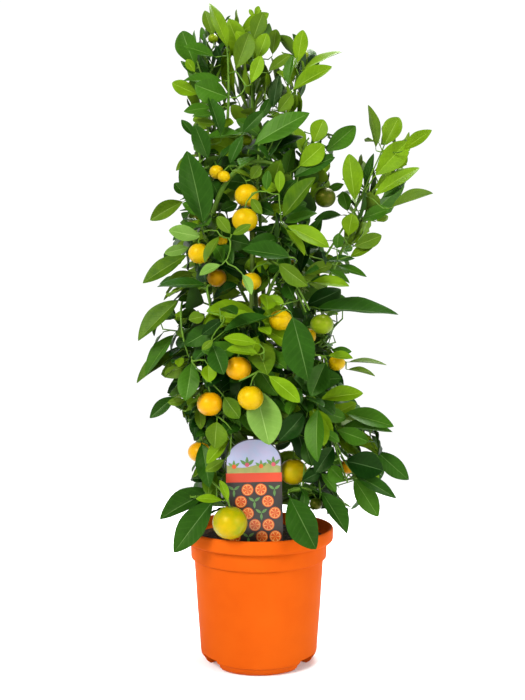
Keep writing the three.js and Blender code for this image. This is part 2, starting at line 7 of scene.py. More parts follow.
import logging
import math
from dataclasses import dataclass, field
from enum import Enum
from typing import ClassVar

import bmesh
import bpy
import numpy as np
from mathutils import Matrix, Vector, noise


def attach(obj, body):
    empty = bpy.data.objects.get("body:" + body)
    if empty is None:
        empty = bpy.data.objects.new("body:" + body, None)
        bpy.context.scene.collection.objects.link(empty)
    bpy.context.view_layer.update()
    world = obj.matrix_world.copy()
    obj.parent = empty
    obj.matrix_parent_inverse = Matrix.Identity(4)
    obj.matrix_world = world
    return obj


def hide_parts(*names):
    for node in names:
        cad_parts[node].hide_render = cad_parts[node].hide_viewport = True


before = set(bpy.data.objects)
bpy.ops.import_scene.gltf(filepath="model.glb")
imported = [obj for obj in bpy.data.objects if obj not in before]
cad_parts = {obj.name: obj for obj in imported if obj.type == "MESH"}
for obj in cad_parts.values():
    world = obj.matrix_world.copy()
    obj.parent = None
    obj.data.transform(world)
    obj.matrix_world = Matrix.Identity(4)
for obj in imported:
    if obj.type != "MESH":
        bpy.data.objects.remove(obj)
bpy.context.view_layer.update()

Tree, Socket = bpy.types.NodeTree, bpy.types.NodeSocket
Shape, Mesh, Array = bmesh.types.BMesh, bpy.types.Mesh, np.ndarray
Pair, Triple = tuple[float, float], tuple[float, float, float]
Outline = list[Pair]

MM = 0.001
UP = np.array([0.0, 0.0, 1.0])
FRONT = np.array([0.0, -1.0, 0.0])
CAMERA = np.array([4.7, -1088.0, 393.0])
LOG = logging.getLogger("calamondin")


# ---------------------------------------------------------------- materials


def linear(code: str) -> tuple[float, float, float, float]:
    """Turns an sRGB hex colour into a linear one."""
    shares = [int(code[i : i + 2], 16) / 255 for i in (1, 3, 5)]
    return (*[c / 12.92 if c <= 0.04045 else ((c + 0.055) / 1.055) ** 2.4 for c in shares], 1.0)


def add_node(
    tree: Tree, kind: str, settings: dict, links: dict | None = None
) -> bpy.types.Node:
    """Adds a node with its settings and its links.

    Args:
        tree: The node tree that it joins.
        kind: The node's type name.
        settings: Values by socket name or number, or by property name.
        links: Output sockets by the name or number of the input that each one feeds.

    Returns:
        The node.
    """
    node = tree.nodes.new(kind)
    for key, value in settings.items():
        if isinstance(key, str) and hasattr(node, key) and key not in node.inputs:
            setattr(node, key, value)
    for key, value in settings.items():
        if isinstance(key, int) or key in node.inputs:
            node.inputs[key].default_value = value
    for key, source in (links or {}).items():
        tree.links.new(source, node.inputs[key])
    return node


@dataclass(frozen=True)
class Finish:
    """A finish whose colour drifts between two tones in soft patches, with a fine relief."""

    name: str
    base: str
    tone: str
    patch_mm: float
    roughness: float
    grain_mm: float
    relief_mm: float
    stretch: Triple = (1.0, 1.0, 1.0)
    ior: float = 1.46
    coat: float = 0.0
    specular: float = 0.5
    glint: str = "#ffffff"

    def colour(self, tree: Tree, place: Socket) -> Socket:
        """The colour that the surface shows."""
        patches = add_node(
            tree,
            "ShaderNodeTexNoise",
            {"Scale": 1 / (self.patch_mm * MM), "Detail": 4.0, "Roughness": 0.55},
            {"Vector": place},
        )
        ramp = add_node(tree, "ShaderNodeValToRGB", {}, {"Fac": patches.outputs["Fac"]})
        for end, position, code in zip(ramp.color_ramp.elements, (0.32, 0.68), (self.base, self.tone)):
            end.position, end.color = position, linear(code)
        return ramp.outputs["Color"]

    def height(self, tree: Tree, place: Socket) -> Socket:
        """The relief's height, from 0 to 1."""
        grain = add_node(
            tree,
            "ShaderNodeTexNoise",
            {"Scale": 1 / (self.grain_mm * MM), "Detail": 3.0, "Roughness": 0.6},
            {"Vector": place},
        )
        return grain.outputs["Fac"]

    def build(self) -> bpy.types.Material:
        """Makes the material."""
        material = bpy.data.materials.new(self.name)
        material.use_nodes = True
        tree = material.node_tree
        tree.nodes.clear()
        coordinates = add_node(tree, "ShaderNodeTexCoord", {})
        place = add_node(
            tree, "ShaderNodeMapping", {"Scale": self.stretch}, {"Vector": coordinates.outputs["Object"]}
        ).outputs["Vector"]
        bump = add_node(
            tree,
            "ShaderNodeBump",
            {"Strength": 1.0, "Distance": self.relief_mm * MM},
            {"Height": self.height(tree, place)},
        )
        shader = add_node(
            tree,
            "ShaderNodeBsdfPrincipled",
            {
                "Roughness": self.roughness,
                "IOR": self.ior,
                "Coat Weight": self.coat,
                "Coat Roughness": 0.25,
                "Specular IOR Level": self.specular,
                "Specular Tint": linear(self.glint),
            },
            {"Base Color": self.colour(tree, place), "Normal": bump.outputs["Normal"]},
        )
        add_node(tree, "ShaderNodeOutputMaterial", {}, {"Surface": shader.outputs["BSDF"]})
        return material


@dataclass(frozen=True)
class BladeFinish(Finish):
    """The waxy upper face of a citrus leaf, whose side veins run from midrib to margin as fine lines."""

    specular: float = 0.13
    glint: str = "#dcffa8"
    vein: str = "#8fae5a"
    veins: float = 9.0
    vein_share: float = 0.09
    sweep: float = 0.42
    line: float = 0.16
    sunk: float = 0.6

    def lines(self, tree: Tree) -> Socket:
        """The side veins, 1 on a vein and 0 between two."""
        chart = add_node(tree, "ShaderNodeUVMap", {"uv_map": "Blade"})
        axes = add_node(tree, "ShaderNodeSeparateXYZ", {}, {"Vector": chart.outputs["UV"]})
        off_rib = add_node(tree, "ShaderNodeMath", {"operation": "SUBTRACT", 1: 0.5}, {0: axes.outputs["X"]})
        spread = add_node(tree, "ShaderNodeMath", {"operation": "ABSOLUTE"}, {0: off_rib.outputs[0]})
        swept = add_node(
            tree,
            "ShaderNodeMath",
            {"operation": "MULTIPLY_ADD", 1: -self.sweep},
            {0: spread.outputs[0], 2: axes.outputs["Y"]},
        )
        repeat = add_node(
            tree, "ShaderNodeMath", {"operation": "PINGPONG", 1: 0.5 / self.veins}, {0: swept.outputs[0]}
        )
        line = add_node(
            tree,
            "ShaderNodeMapRange",
            {"From Min": 0.0, "From Max": self.line / self.veins, "To Min": 1.0, "To Max": 0.0},
            {"Value": repeat.outputs[0]},
        )
        return line.outputs["Result"]

    def colour(self, tree: Tree, place: Socket) -> Socket:
        """The drifting green with its veins drawn in."""
        share = add_node(
            tree, "ShaderNodeMath", {"operation": "MULTIPLY", 1: self.vein_share}, {0: self.lines(tree)}
        )
        mixed = add_node(
            tree,
            "ShaderNodeMix",
            {"data_type": "RGBA", 7: linear(self.vein)},
            {0: share.outputs[0], 6: super().colour(tree, place)},
        )
        return mixed.outputs[2]

    def height(self, tree: Tree, place: Socket) -> Socket:
        """The blade's faint quilting, sunk along its veins."""
        grain = super().height(tree, place)
        settings = {"operation": "MULTIPLY_ADD", 1: -self.sunk}
        quilted = add_node(tree, "ShaderNodeMath", settings, {0: self.lines(tree), 2: grain})
        return quilted.outputs[0]


@dataclass(frozen=True)
class PeelFinish(Finish):
    """Citrus peel: oily and glossy, with a pore every millimetre or two."""

    specular: float = 0.34
    glint: str = "#ffdc78"
    pore_mm: float = 1.5

    def height(self, tree: Tree, place: Socket) -> Socket:
        """Round pores sunk in a smooth skin."""
        pores = add_node(
            tree, "ShaderNodeTexVoronoi", {"Scale": 1 / (self.pore_mm * MM)}, {"Vector": place}
        )
        dimple = add_node(
            tree,
            "ShaderNodeMapRange",
            {"From Min": 0.1, "From Max": 0.45, "To Min": 0.0, "To Max": 1.0},
            {"Value": pores.outputs["Distance"]},
        )
        return dimple.outputs["Result"]


# Leathery citrus leaves under a wax of their own: dark and glossy when old, yellower and softer in shine when
# young. Their quilting is drawn at 5 mm, which is as fine as shows.
class Shade(Enum):
    """The greens of the leaves, from the oldest to the youngest, and the greyer that turn their backs."""

    DEEP = BladeFinish("waxed_leaf_deep", "#041c02", "#092704", 34, 0.36, 5, 0.13, vein="#1c3f10")
    DARK = BladeFinish("waxed_leaf_dark", "#163306", "#1f410a", 34, 0.36, 5, 0.13, vein="#3b641c")
    MID = BladeFinish("waxed_leaf_mid", "#244507", "#2f540d", 30, 0.38, 5, 0.13, vein="#4e761e")
    BRIGHT = BladeFinish("waxed_leaf_bright", "#385109", "#475f0e", 30, 0.42, 5, 0.13, vein="#617d22")
    LIME = BladeFinish("young_leaf_lime", "#496604", "#5a7708", 26, 0.46, 5, 0.09, vein="#769224")
    YOUNG = BladeFinish("young_leaf_yellow", "#4b6804", "#5b7a09", 26, 0.48, 5, 0.09, vein="#7a9626")
    OLIVE = BladeFinish("waxed_leaf_olive", "#2a4507", "#3b5505", 16, 0.4, 5, 0.13, vein="#59721b")
    PALE = BladeFinish("leaf_back_pale", "#54742c", "#65853a", 26, 0.5, 5, 0.13, vein="#7f9e51")


# Oily citrus peel: its pores break up a soft shine, and green gives way to orange in wide patches.
class Ripeness(Enum):
    """The colours of the peel as the fruit ripens."""

    ORANGE = PeelFinish("citrus_peel_orange", "#b07b02", "#b38503", 12, 0.3, 1, 0.12)
    AMBER = PeelFinish("citrus_peel_amber", "#a88502", "#ad9203", 12, 0.3, 1, 0.12)
    YELLOW = PeelFinish("citrus_peel_yellow", "#a08602", "#6e7c03", 17, 0.3, 1, 0.12)
    OLIVE = PeelFinish("citrus_peel_olive", "#b89602", "#8c8203", 22, 0.32, 1, 0.12)
    GREEN = PeelFinish("citrus_peel_green", "#5c7008", "#6c820d", 20, 0.34, 1, 0.12)
    UNRIPE = PeelFinish("citrus_peel_unripe", "#273503", "#374403", 12, 0.34, 1, 0.12)


def lighter(code: str, share: float, toward: str = "#c9d88a") -> str:
    """Moves a hex colour a share of the way to another."""
    pairs = [(int(code[i : i + 2], 16), int(toward[i : i + 2], 16)) for i in (1, 3, 5)]
    return "#" + "".join(f"{round(a + (b - a) * share):02x}" for a, b in pairs)


def rib_finish(blade: BladeFinish) -> Finish:
    """The midrib: paler than its blade and smooth."""
    base, tone = (lighter(blade.tone, share) for share in (0.17, 0.23))
    return Finish(blade.name + "_rib", base, tone, 20, 0.45, 4, 0.05, specular=0.15)


def back_finish(blade: BladeFinish) -> Finish:
    """The back of a leaf, which has less wax than its face: paler, greyer and matte."""
    base, tone = (lighter(code, 0.3, "#7f9a44") for code in (blade.base, blade.tone))
    return Finish(blade.name + "_back", base, tone, 30, 0.6, 3, 0.15, specular=0.08, glint=blade.glint)


def card_print(ink: str, base: str, tone: str, patch_mm: float) -> Finish:
    """Printed polypropylene card under a clear gloss: a flat ink that shines as the whole card does."""
    return Finish(f"printed_card_{ink}", base, tone, patch_mm, 0.28, 3, 0.01, coat=0.25)


# Polypropylene, injection-moulded: an even satin orange with the faintest flow marks.
POT_PLASTIC = Finish(
    "moulded_polypropylene", "#aa440a", "#b44d0e", 90, 0.55, 2.5, 0.03, specular=0.015, glint="#ffb070"
)
# Moist peat: nearly black, matte and crumbly.
PEAT = Finish("moist_peat", "#190f09", "#362416", 6, 0.92, 2.2, 1.2)
# Loose crumbs of peat and bark, which dry sooner than the rest: browner, matte and rough.
CRUMB = Finish("peat_crumb", "#372518", "#59412b", 8, 0.9, 1.6, 0.5)
# Bark of a young citrus: brown and faintly furrowed lengthwise.
BARK = Finish("citrus_bark", "#574527", "#756438", 9, 0.72, 2.2, 0.5, stretch=(1, 1, 0.22))
# Bark that is still green: smooth, with a dull shine and faint lines lengthwise.
GREEN_BARK = Finish(
    "green_bark", "#3a5116", "#53641e", 14, 0.55, 2.2, 0.25, stretch=(1, 1, 0.3), specular=0.15
)
# The skin of this year's twigs: fresh green and smooth.
TWIG_SKIN = Finish("green_twig_skin", "#416018", "#587921", 12, 0.5, 2, 0.12, specular=0.15)
CARD_FINISHES = [
    card_print("dark", "#1e1b17", "#2a231c", 20),
    card_print("band", "#b33312", "#b73816", 30),
    card_print("sky", "#a198b3", "#919db7", 18),
    card_print("ground", "#788144", "#8e8a4d", 8),
    card_print("orange", "#b33a06", "#ba520d", 6),
    card_print("pith", "#c99655", "#c98b40", 6),
    card_print("leaf", "#41692f", "#5b813d", 6),
    card_print("pink", "#a9354d", "#b7505b", 6),
]
# A painted floor of the studio: white and matte.
STUDIO_FLOOR = Finish("studio_floor", "#fafafa", "#fcfcfc", 300, 0.7, 30, 0.0)


class Ink(Enum):
    """The numbers of the card's finishes."""

    DARK = 0
    BAND = 1
    SKY = 2
    GROUND = 3
    ORANGE = 4
    PITH = 5
    LEAF = 6
    PINK = 7


class MaterialShelf:
    """Makes each material once and hands it out again."""

    def __init__(self) -> None:
        """Starts empty."""
        self.made: dict[str, bpy.types.Material] = {}

    def get(self, finish: Finish) -> bpy.types.Material:
        """The material of a finish."""
        if finish.name not in self.made:
            self.made[finish.name] = finish.build()
        return self.made[finish.name]


SHELF = MaterialShelf()


# ---------------------------------------------------------------- pieces


def linked(name: str, data: bpy.types.ID | None) -> bpy.types.Object:
    """Makes an object and links it to the scene."""
    made = bpy.data.objects.new(name, data)
    bpy.context.scene.collection.objects.link(made)
    return made


def finish_piece(
    mesh: Mesh,
    finishes: list[Finish],
    nodes: list[str],
    sharp_deg: float = 35,
) -> bpy.types.Object:
    """Links a mesh as a piece of the tree, smooth but for its sharp edges.

    Args:
        mesh: The finished mesh, in metres, in its place.
        finishes: Its materials in the order of its material numbers.
        nodes: The frame's nodes that it stands for.
        sharp_deg: Edges that turn by more than this stay sharp.

    Returns:
        The object.
    """
    for finish in finishes:
        mesh.materials.append(SHELF.get(finish))
    mesh.shade_smooth()
    mesh.set_sharp_from_angle(angle=math.radians(sharp_deg))
    piece = linked(mesh.name, mesh)
    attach(piece, "root")
    if nodes:
        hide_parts(*nodes)
    LOG.info("%s: %d faces", mesh.name, len(mesh.polygons))
    return piece


def mesh_from(shape: Shape, name: str, outward: bool = True) -> Mesh:
    """Turns a bmesh into a named mesh and frees it.

    Args:
        shape: The bmesh, in metres.
        name: The mesh's name.
        outward: Whether its faces are turned to point outwards.

    Returns:
        The mesh.
    """
    if outward:
        bmesh.ops.recalc_face_normals(shape, faces=shape.faces)
    mesh = bpy.data.meshes.new(name)
    shape.to_mesh(mesh)
    shape.free()
    return mesh


def applied(piece: bpy.types.Object) -> Mesh:
    """The mesh that the modifiers or the bevel of a linked object give, with the object taken away."""
    bpy.context.view_layer.update()
    graph = bpy.context.evaluated_depsgraph_get()
    mesh = bpy.data.meshes.new_from_object(piece.evaluated_get(graph))
    bpy.data.objects.remove(piece)
    return mesh


def joined(name: str, parts: list[Mesh]) -> Mesh:
    """Joins meshes into a new one that keeps their material numbers, and removes them."""
    shape = bmesh.new()
    for part in parts:
        shape.from_mesh(part)
        bpy.data.meshes.remove(part)
    return mesh_from(shape, name, outward=False)


def spun(outline: Outline, steps: int) -> Shape:
    """Spins an outline of radius and height round the Z axis, with no doubled corners on the axis."""
    shape = bmesh.new()
    verts = [shape.verts.new((0, -radius * MM, z * MM)) for radius, z in outline]
    edges = [shape.edges.new(pair) for pair in zip(verts, verts[1:])]
    bmesh.ops.spin(
        shape,
        geom=verts + edges,
        cent=(0, 0, 0),
        axis=(0, 0, 1),
        angle=2 * math.pi,
        steps=steps,
        use_merge=True,
    )
    bmesh.ops.remove_doubles(shape, verts=shape.verts, dist=1e-6)
    return shape


# ---------------------------------------------------------------- pot, soil and label


@dataclass
class Pot:
    """A moulded nursery pot with a hanging rim, a shoulder under it and a foot with four drain arches."""

    height: float = 168.5
    rim_radius: float = 95
    rim_depth: float = 16.7
    shoulder_radius: float = 86.9
    shoulder_depth: float = 22
    body_top: float = 82.2
    body_foot: float = 74.4
    foot_height: float = 10
    foot_radius: float = 71
    foot_base: float = 63
    wall: float = 1.9
    floor: float = 2.2
    arch_angles: tuple[float, ...] = (55.6, 124.4, 235.6, 304.4)
    arch_width: Pair = (32, 35)
    arch_height: float = 14.5
    arch_depth: float = 26
    arch_rounding: float = 3
    arch_overreach: float = 14
    hole_radius: float = 3.5
    hole_length: float = 16
    hole_below_arch: float = 4.5
    steps: int = 144

    def outside(self) -> Outline:
        """The wall's outer side as radius and height, from the middle of the underside up to the rim."""
        shoulder_top = self.height - self.rim_depth
        body_top = shoulder_top - self.shoulder_depth
        rim, shoulder = self.rim_radius, self.shoulder_radius
        foot = [
            (0, 0), (self.foot_base - 0.4, 0), (self.foot_base + 1, 0.7), (self.foot_base + 4.3, 3),
            (self.foot_radius - 1.2, 6), (self.foot_radius, self.foot_height - 0.8),
            (self.foot_radius + 1.1, self.foot_height), (self.body_foot - 0.9, self.foot_height + 1.4),
            (self.body_foot - 0.3, self.foot_height + 4.5), (self.body_foot, self.foot_height + 10),
        ]
        body = [
            ((self.body_foot + self.body_top) / 2, (self.foot_height + body_top) / 2),
            (self.body_top, body_top - 1), (self.body_top + 0.15, body_top + 0.4),
            (shoulder - 0.9, body_top + 1.2), (shoulder - 0.5, body_top + 2.4),
            (shoulder, shoulder_top - 0.4), (shoulder + 0.5, shoulder_top),
        ]
        lip = [
            (rim - 1.6, shoulder_top + 0.2), (rim - 0.7, shoulder_top + 1.2),
            (rim - 0.2, shoulder_top + 3), (rim, self.height - 3.2), (rim - 0.35, self.height - 1.4),
            (rim - 1.2, self.height - 0.3), (rim - 2.2, self.height),
        ]
        return [*foot, *body, *lip]

    def inside(self) -> Outline:
        """The wall's inner side as radius and height, from the top of the rim to the middle of the floor."""
        shoulder_top = self.height - self.rim_depth
        body_top = shoulder_top - self.shoulder_depth
        rim, shoulder, wall = self.rim_radius, self.shoulder_radius, self.wall
        return [
            (rim - 3.0, self.height - 0.5), (rim - 3.5, self.height - 2),
            (rim - 4.2, shoulder_top + 3.4), (rim - 5.2, shoulder_top + 2.2),
            (shoulder - wall, shoulder_top + 1.2), (shoulder - wall - 0.5, shoulder_top - 0.6),
            (shoulder - wall - 0.8, body_top + 1), (self.body_top - wall, body_top - 3),
            (self.body_foot - wall, self.foot_height + 10),
            (self.body_foot - wall - 1.2, self.foot_height + 5.5),
            (self.foot_base + 4, self.foot_height + 2.6), (self.foot_base + 1.6, self.foot_height + 1),
            (self.foot_base - 1, self.floor), (0, self.floor),
        ]

    def foot_room(self) -> Outline:
        """The outline of the whole room inside the foot's outer side, as radius and height."""
        side = [point for point in self.outside() if point[1] <= self.foot_height + 10]
        return [*side, (0, side[-1][1])]

    def arches(self, grow: float, name: str) -> bpy.types.Object:
        """The four drain arches as blocks that run in from the pot's side.

        Args:
            grow: How much larger each block is all round.
            name: The object's name.

        Returns:
            An object that holds the four blocks.
        """
        shape = bmesh.new()
        near = self.body_foot + self.arch_overreach
        far = self.body_foot - self.arch_depth - grow
        top, bottom = (width / 2 + grow for width in self.arch_width)
        low, high = -1 - grow, self.arch_height + grow
        for angle in self.arch_angles:
            made = bmesh.ops.create_cube(shape, size=1)["verts"]
            for vert in made:
                half = math.copysign(top if vert.co.z > 0 else bottom, vert.co.x)
                out = near if vert.co.y < 0 else far
                vert.co = Vector((half * MM, -out * MM, (high if vert.co.z > 0 else low) * MM))
            edges = {edge for vert in made for edge in vert.link_edges}
            upper = [edge for edge in edges if edge.verts[0].co.z > 0.005]
            bevelled = bmesh.ops.bevel(
                shape,
                geom=[edge for edge in upper if abs(edge.verts[0].co.y - edge.verts[1].co.y) > 0.01],
                offset=(self.arch_rounding + grow) * MM,
                offset_type="OFFSET",
                segments=4,
                profile=0.5,
                affect="EDGES",
                material=-1,
            )
            whole = {v for v in made if v.is_valid} | {v for f in bevelled["faces"] for v in f.verts}
            turn = Matrix.Rotation(math.radians(angle), 3, "Z")
            bmesh.ops.rotate(shape, verts=list(whole), cent=(0, 0, 0), matrix=turn)
        return linked(name, mesh_from(shape, name))

    def holes(self) -> bpy.types.Object:
        """The drain holes, one at the back of each arch, as rods in one object."""
        shape = bmesh.new()
        out, up = self.body_foot - self.arch_depth, self.arch_height - self.hole_below_arch
        for angle in self.arch_angles:
            turn = Matrix.Rotation(math.radians(angle), 4, "Z")
            place = turn @ Matrix.Translation((0, -out * MM, up * MM))
            bmesh.ops.create_cone(
                shape,
                cap_ends=True,
                segments=20,
                radius1=self.hole_radius * MM,
                radius2=self.hole_radius * MM,
                depth=self.hole_length * MM,
                matrix=place @ Matrix.Rotation(math.pi / 2, 4, "X"),
            )
        return linked("drain_holes", mesh_from(shape, "drain_holes"))

    def build(self) -> None:
        """Turns the pot, lines its drain arches and cuts them and their holes."""
        outline = [*self.outside(), *self.inside()]
        pot = linked("pot_wall", mesh_from(spun(outline, self.steps), "pot_wall"))
        linings = self.arches(self.wall, "arch_linings")
        room = linked("foot_room", mesh_from(spun(self.foot_room(), self.steps), "foot_room"))
        rooms, holes = self.arches(0, "arch_rooms"), self.holes()
        fit = linings.modifiers.new("inside_wall", "BOOLEAN")
        fit.operation, fit.object = "INTERSECT", room
        for operation, tool in (("UNION", linings), ("DIFFERENCE", rooms), ("DIFFERENCE", holes)):
            cut = pot.modifiers.new(tool.name, "BOOLEAN")
            cut.operation, cut.object, cut.solver = operation, tool, "EXACT"
        mesh = applied(pot)
        for tool in (linings, room, rooms, holes):
            bpy.data.objects.remove(tool)
        mesh.name = "nursery_pot"
        finish_piece(mesh, [POT_PLASTIC], ["pot"], 28)


@dataclass
class Soil:
    """Moist potting peat that fills the pot to a little under its rim, loose and lumpy on top."""

    edge: float = 153.5
    crown: float = 158
    radius: float = 84.2
    foot: float = 120
    foot_radius: float = 81
    rings: int = 26
    steps: int = 120
    lump: Pair = (9, 1.6)
    crumble: Pair = (3.5, 0.9)
    crumbs: int = 260
    crumb_size: Pair = (0.7, 2.3)
    seed: int = 11

    def height(self, x: float, y: float) -> float:
        """The surface's height at a place, lower towards the wall."""
        out = min(math.hypot(x, y) / self.radius, 1)
        across, rise = self.lump
        lumps = rise * noise.noise(Vector((x / across, y / across, 3)))
        across, rise = self.crumble
        lumps += rise * noise.noise(Vector((x / across, y / across, 8)))
        return self.crown - (self.crown - self.edge) * out * out + lumps * (1 - 0.6 * out**6)

    def build(self) -> None:
        """Makes the peat as a plug with a rough top, and strews it with crumbs."""
        surface = [(self.radius * i / self.rings, self.edge) for i in range(self.rings, -1, -1)]
        shape = spun([(0, self.foot), (self.foot_radius, self.foot), *surface], self.steps)
        for vert in shape.verts:
            if vert.co.z > (self.edge - 1) * MM:
                vert.co.z = self.height(vert.co.x / MM, vert.co.y / MM) * MM
        finish_piece(mesh_from(shape, "potting_soil"), [PEAT], ["soil"], 60)
        self.strew()

    def strew(self) -> None:
        """Scatters bark chips and crumbs that are half sunk in the peat."""
        rand = np.random.default_rng(self.seed)
        shape = bmesh.new()
        for _ in range(self.crumbs):
            out = (self.radius - 4) * math.sqrt(rand.random())
            angle = 2 * math.pi * rand.random()
            x, y = out * math.cos(angle), out * math.sin(angle)
            size = rand.uniform(*self.crumb_size)
            place = Matrix.Translation((x * MM, y * MM, (self.height(x, y) + 0.15 * size) * MM))
            turn = Matrix.Rotation(rand.uniform(0, 6.28), 4, "Z")
            tilt = Matrix.Rotation(rand.uniform(-0.5, 0.5), 4, "X")
            sizes = rand.uniform(0.8, 1.9), rand.uniform(0.7, 1.2), rand.uniform(0.4, 0.8)
            form = Matrix.Diagonal((*sizes, 1))
            whole = place @ (turn @ tilt) @ form
            bmesh.ops.create_icosphere(shape, subdivisions=1, radius=size * MM, matrix=whole)
        finish_piece(mesh_from(shape, "peat_crumbs"), [CRUMB], [], 80)


@dataclass
class Label:
    """A card on a spike, with an arched picture panel, a plain band and a pattern of fruit and leaves."""

    width: float = 68
    top: float = 285
    arch: float = 28
    thick: float = 1
    x: float = -4
    y: float = -58
    foot: float = 156
    lean: float = 3
    roll: float = -1.2
    spike: Pair = (14, 38)
    spike_point: float = 3
    margin: float = 1.2
    ink: float = 0.12
    ink_share: float = 0.9
    panel_foot: float = 3
    band_drop: Pair = (52.5, 41.5)
    hill: Triple = (9, 2.5, 9)
    bushes: tuple[float, ...] = (-24, -8, 9, 24)
    bush_size: Pair = (9, 2)
    bush_foot: float = 7
    berry: float = 2.6
    grid_start: Pair = (-24.6, 10.5)
    grid: Pair = (16.4, 14.2)
    grid_margin: Pair = (7, 6)
    orange: Triple = (7.2, 6.2, 5.4)
    sprig_size: float = 8.5

    @property
    def height(self) -> float:
        """How far the card rises above its foot."""
        return self.top - self.foot

    @property
    def band(self) -> Pair:
        """The heights of the plain band's lower and upper edges."""
        return self.height - self.band_drop[0], self.height - self.band_drop[1]

    def place(self) -> Matrix:
        """Where the card stands."""
        lean = Matrix.Rotation(math.radians(-self.lean), 4, "X")
        turn = lean @ Matrix.Rotation(math.radians(self.roll), 4, "Y")
        return Matrix.Translation((self.x * MM, self.y * MM, self.foot * MM)) @ turn

    def arched(self, inset: float, steps: int) -> Outline:
        """Points of the arched top from right to left, a number of steps at an inset from the edge."""
        half, rise = self.width / 2 - inset, self.arch - inset
        across = half * np.cos(np.linspace(0, math.pi, steps))
        bow = np.sqrt(np.maximum(1 - (across / half) ** 2, 0))
        return list(zip(across, self.height - self.arch + rise * bow))

    def plate(self, shape: Shape, outline: Outline, front: float, depth: float, ink: Ink) -> None:
        """Adds a flat plate.

        Args:
            shape: The bmesh that takes it.
            outline: Its corners as distance across and height.
            front: How far its face is before the card's middle.
            depth: How thick it is.
            ink: Its finish.
        """
        face = shape.faces.new([shape.verts.new((x * MM, -front * MM, z * MM)) for x, z in outline])
        face.material_index = ink.value
        side = bmesh.ops.extrude_face_region(shape, geom=[face])
        back = [v for v in side["geom"] if isinstance(v, bmesh.types.BMVert)]
        bmesh.ops.translate(shape, verts=back, vec=(0, depth * MM, 0))
        for new in {f for v in back for f in v.link_faces}:
            new.material_index = ink.value

    def lay(self, shape: Shape, outline: Outline, layer: float, ink: Ink) -> None:
        """Lays a flat printed shape on the card's front."""
        self.plate(shape, outline, self.thick / 2 + self.ink * layer, self.ink * self.ink_share, ink)

    @staticmethod
    def bar(half: float, low: float, high: float) -> Outline:
        """Corners of a bar across the card."""
        return [(-half, low), (half, low), (half, high), (-half, high)]

    @staticmethod
    def disc(x: float, z: float, radius: float, start: float = 0, end: float = 360) -> Outline:
        """Corners of a disc, or of the round side of a slice of one from one angle in degrees to another."""
        steps = max(8, int((end - start) / 15))
        turns = [math.radians(start + (end - start) * i / steps) for i in range(steps + (end - start < 360))]
        return [(x + radius * math.cos(t), z + radius * math.sin(t)) for t in turns]

    @staticmethod
    def sprig(x: float, z: float, length: float, angle: float) -> Outline:
        """Corners of a pointed leaf from its foot at a place, turned by an angle in degrees."""
        aim = math.radians(angle)
        side = [(0.25, 0.15), (0.55, 0.19), (0.85, 0.09)]
        lens = [(0, 0), *side, (1, 0), *[(along, -out) for along, out in side[::-1]]]
        cos, sin = math.cos(aim), math.sin(aim)
        return [(x + length * (a * cos - b * sin), z + length * (a * sin + b * cos)) for a, b in lens]

    def cut(self, shape: Shape) -> None:
        """Cuts the card with its spike and its arched top."""
        half, spike, tip = self.width / 2, self.spike[0] / 2, -self.spike[1]
        foot = [(-spike, tip), (0, tip - self.spike_point), (spike, tip), (spike, 0), (half, 2)]
        outline = [*foot, *self.arched(0, 33), (-half, 2), (-spike, 0)]
        self.plate(shape, outline, self.thick / 2, self.thick, Ink.DARK)

    def print_panels(self, shape: Shape) -> None:
        """Prints the dark panel, the plain band, and the garden with its bushes under the arch."""
        half = self.width / 2
        inner, (low, high) = half - self.margin, self.band
        self.lay(shape, self.bar(inner, self.panel_foot, low), 1, Ink.DARK)
        self.lay(shape, self.bar(half, low, high), 1, Ink.BAND)
        self.lay(shape, [(-inner, high), (inner, high), *self.arched(self.margin, 29)], 1, Ink.SKY)
        rise, swell, roll = self.hill
        hill = [(x, high + rise + swell * math.sin(x / roll)) for x in np.linspace(inner, -inner, 15)]
        self.lay(shape, [(-inner, high), (inner, high), *hill], 2, Ink.GROUND)
        for i, x in enumerate(self.bushes):
            taller = self.bush_size[1] * (i % 2)
            foot = high + self.bush_foot + taller
            for angle in (40, 90, 140):
                self.lay(shape, self.sprig(x, foot, self.bush_size[0] + taller, angle), 3, Ink.LEAF)
            self.lay(shape, self.disc(x, foot + 1, self.berry), 4, Ink.PINK if i % 2 else Ink.ORANGE)

    def print_pattern(self, shape: Shape) -> None:
        """Prints orange slices and sprigs in staggered rows on the dark panel."""
        rind, pith, flesh = self.orange
        for row in range(5):
            for column in range(4):
                x = self.grid_start[0] + self.grid[0] * (column + 0.5 * (row % 2))
                z = self.grid_start[1] + self.grid[1] * row
                if x > self.width / 2 - self.grid_margin[0] or z > self.band[0] - self.grid_margin[1]:
                    continue
                if (row + column) % 3 == 1:
                    for angle in (35, 145, 270):
                        self.lay(shape, self.sprig(x, z, self.sprig_size, angle), 2, Ink.LEAF)
                    continue
                self.lay(shape, self.disc(x, z, rind), 2, Ink.ORANGE)
                self.lay(shape, self.disc(x, z, pith), 3, Ink.PITH)
                for start in range(6 + 10 * row, 366 + 10 * row, 60):
                    self.lay(shape, [(x, z), *self.disc(x, z, flesh, start, start + 48)], 4, Ink.ORANGE)

    def build(self) -> None:
        """Cuts the card, prints it and stands it in the soil."""
        shape = bmesh.new()
        self.cut(shape)
        self.print_panels(shape)
        self.print_pattern(shape)
        bmesh.ops.transform(shape, matrix=self.place(), verts=shape.verts)
        finish_piece(mesh_from(shape, "card_label"), CARD_FINISHES, ["label"])


# ---------------------------------------------------------------- paths and room


def unit(vector: Array) -> Array:
    """A vector's direction."""
    return vector / max(float(np.linalg.norm(vector)), 1e-9)


def turned_about(vector: Array, axis: Array, degrees: float) -> Array:
    """A vector turned about a unit axis, by degrees."""
    angle = math.radians(degrees)
    return (
        vector * math.cos(angle)
        + np.cross(axis, vector) * math.sin(angle)
        + axis * float(axis @ vector) * (1 - math.cos(angle))
    )


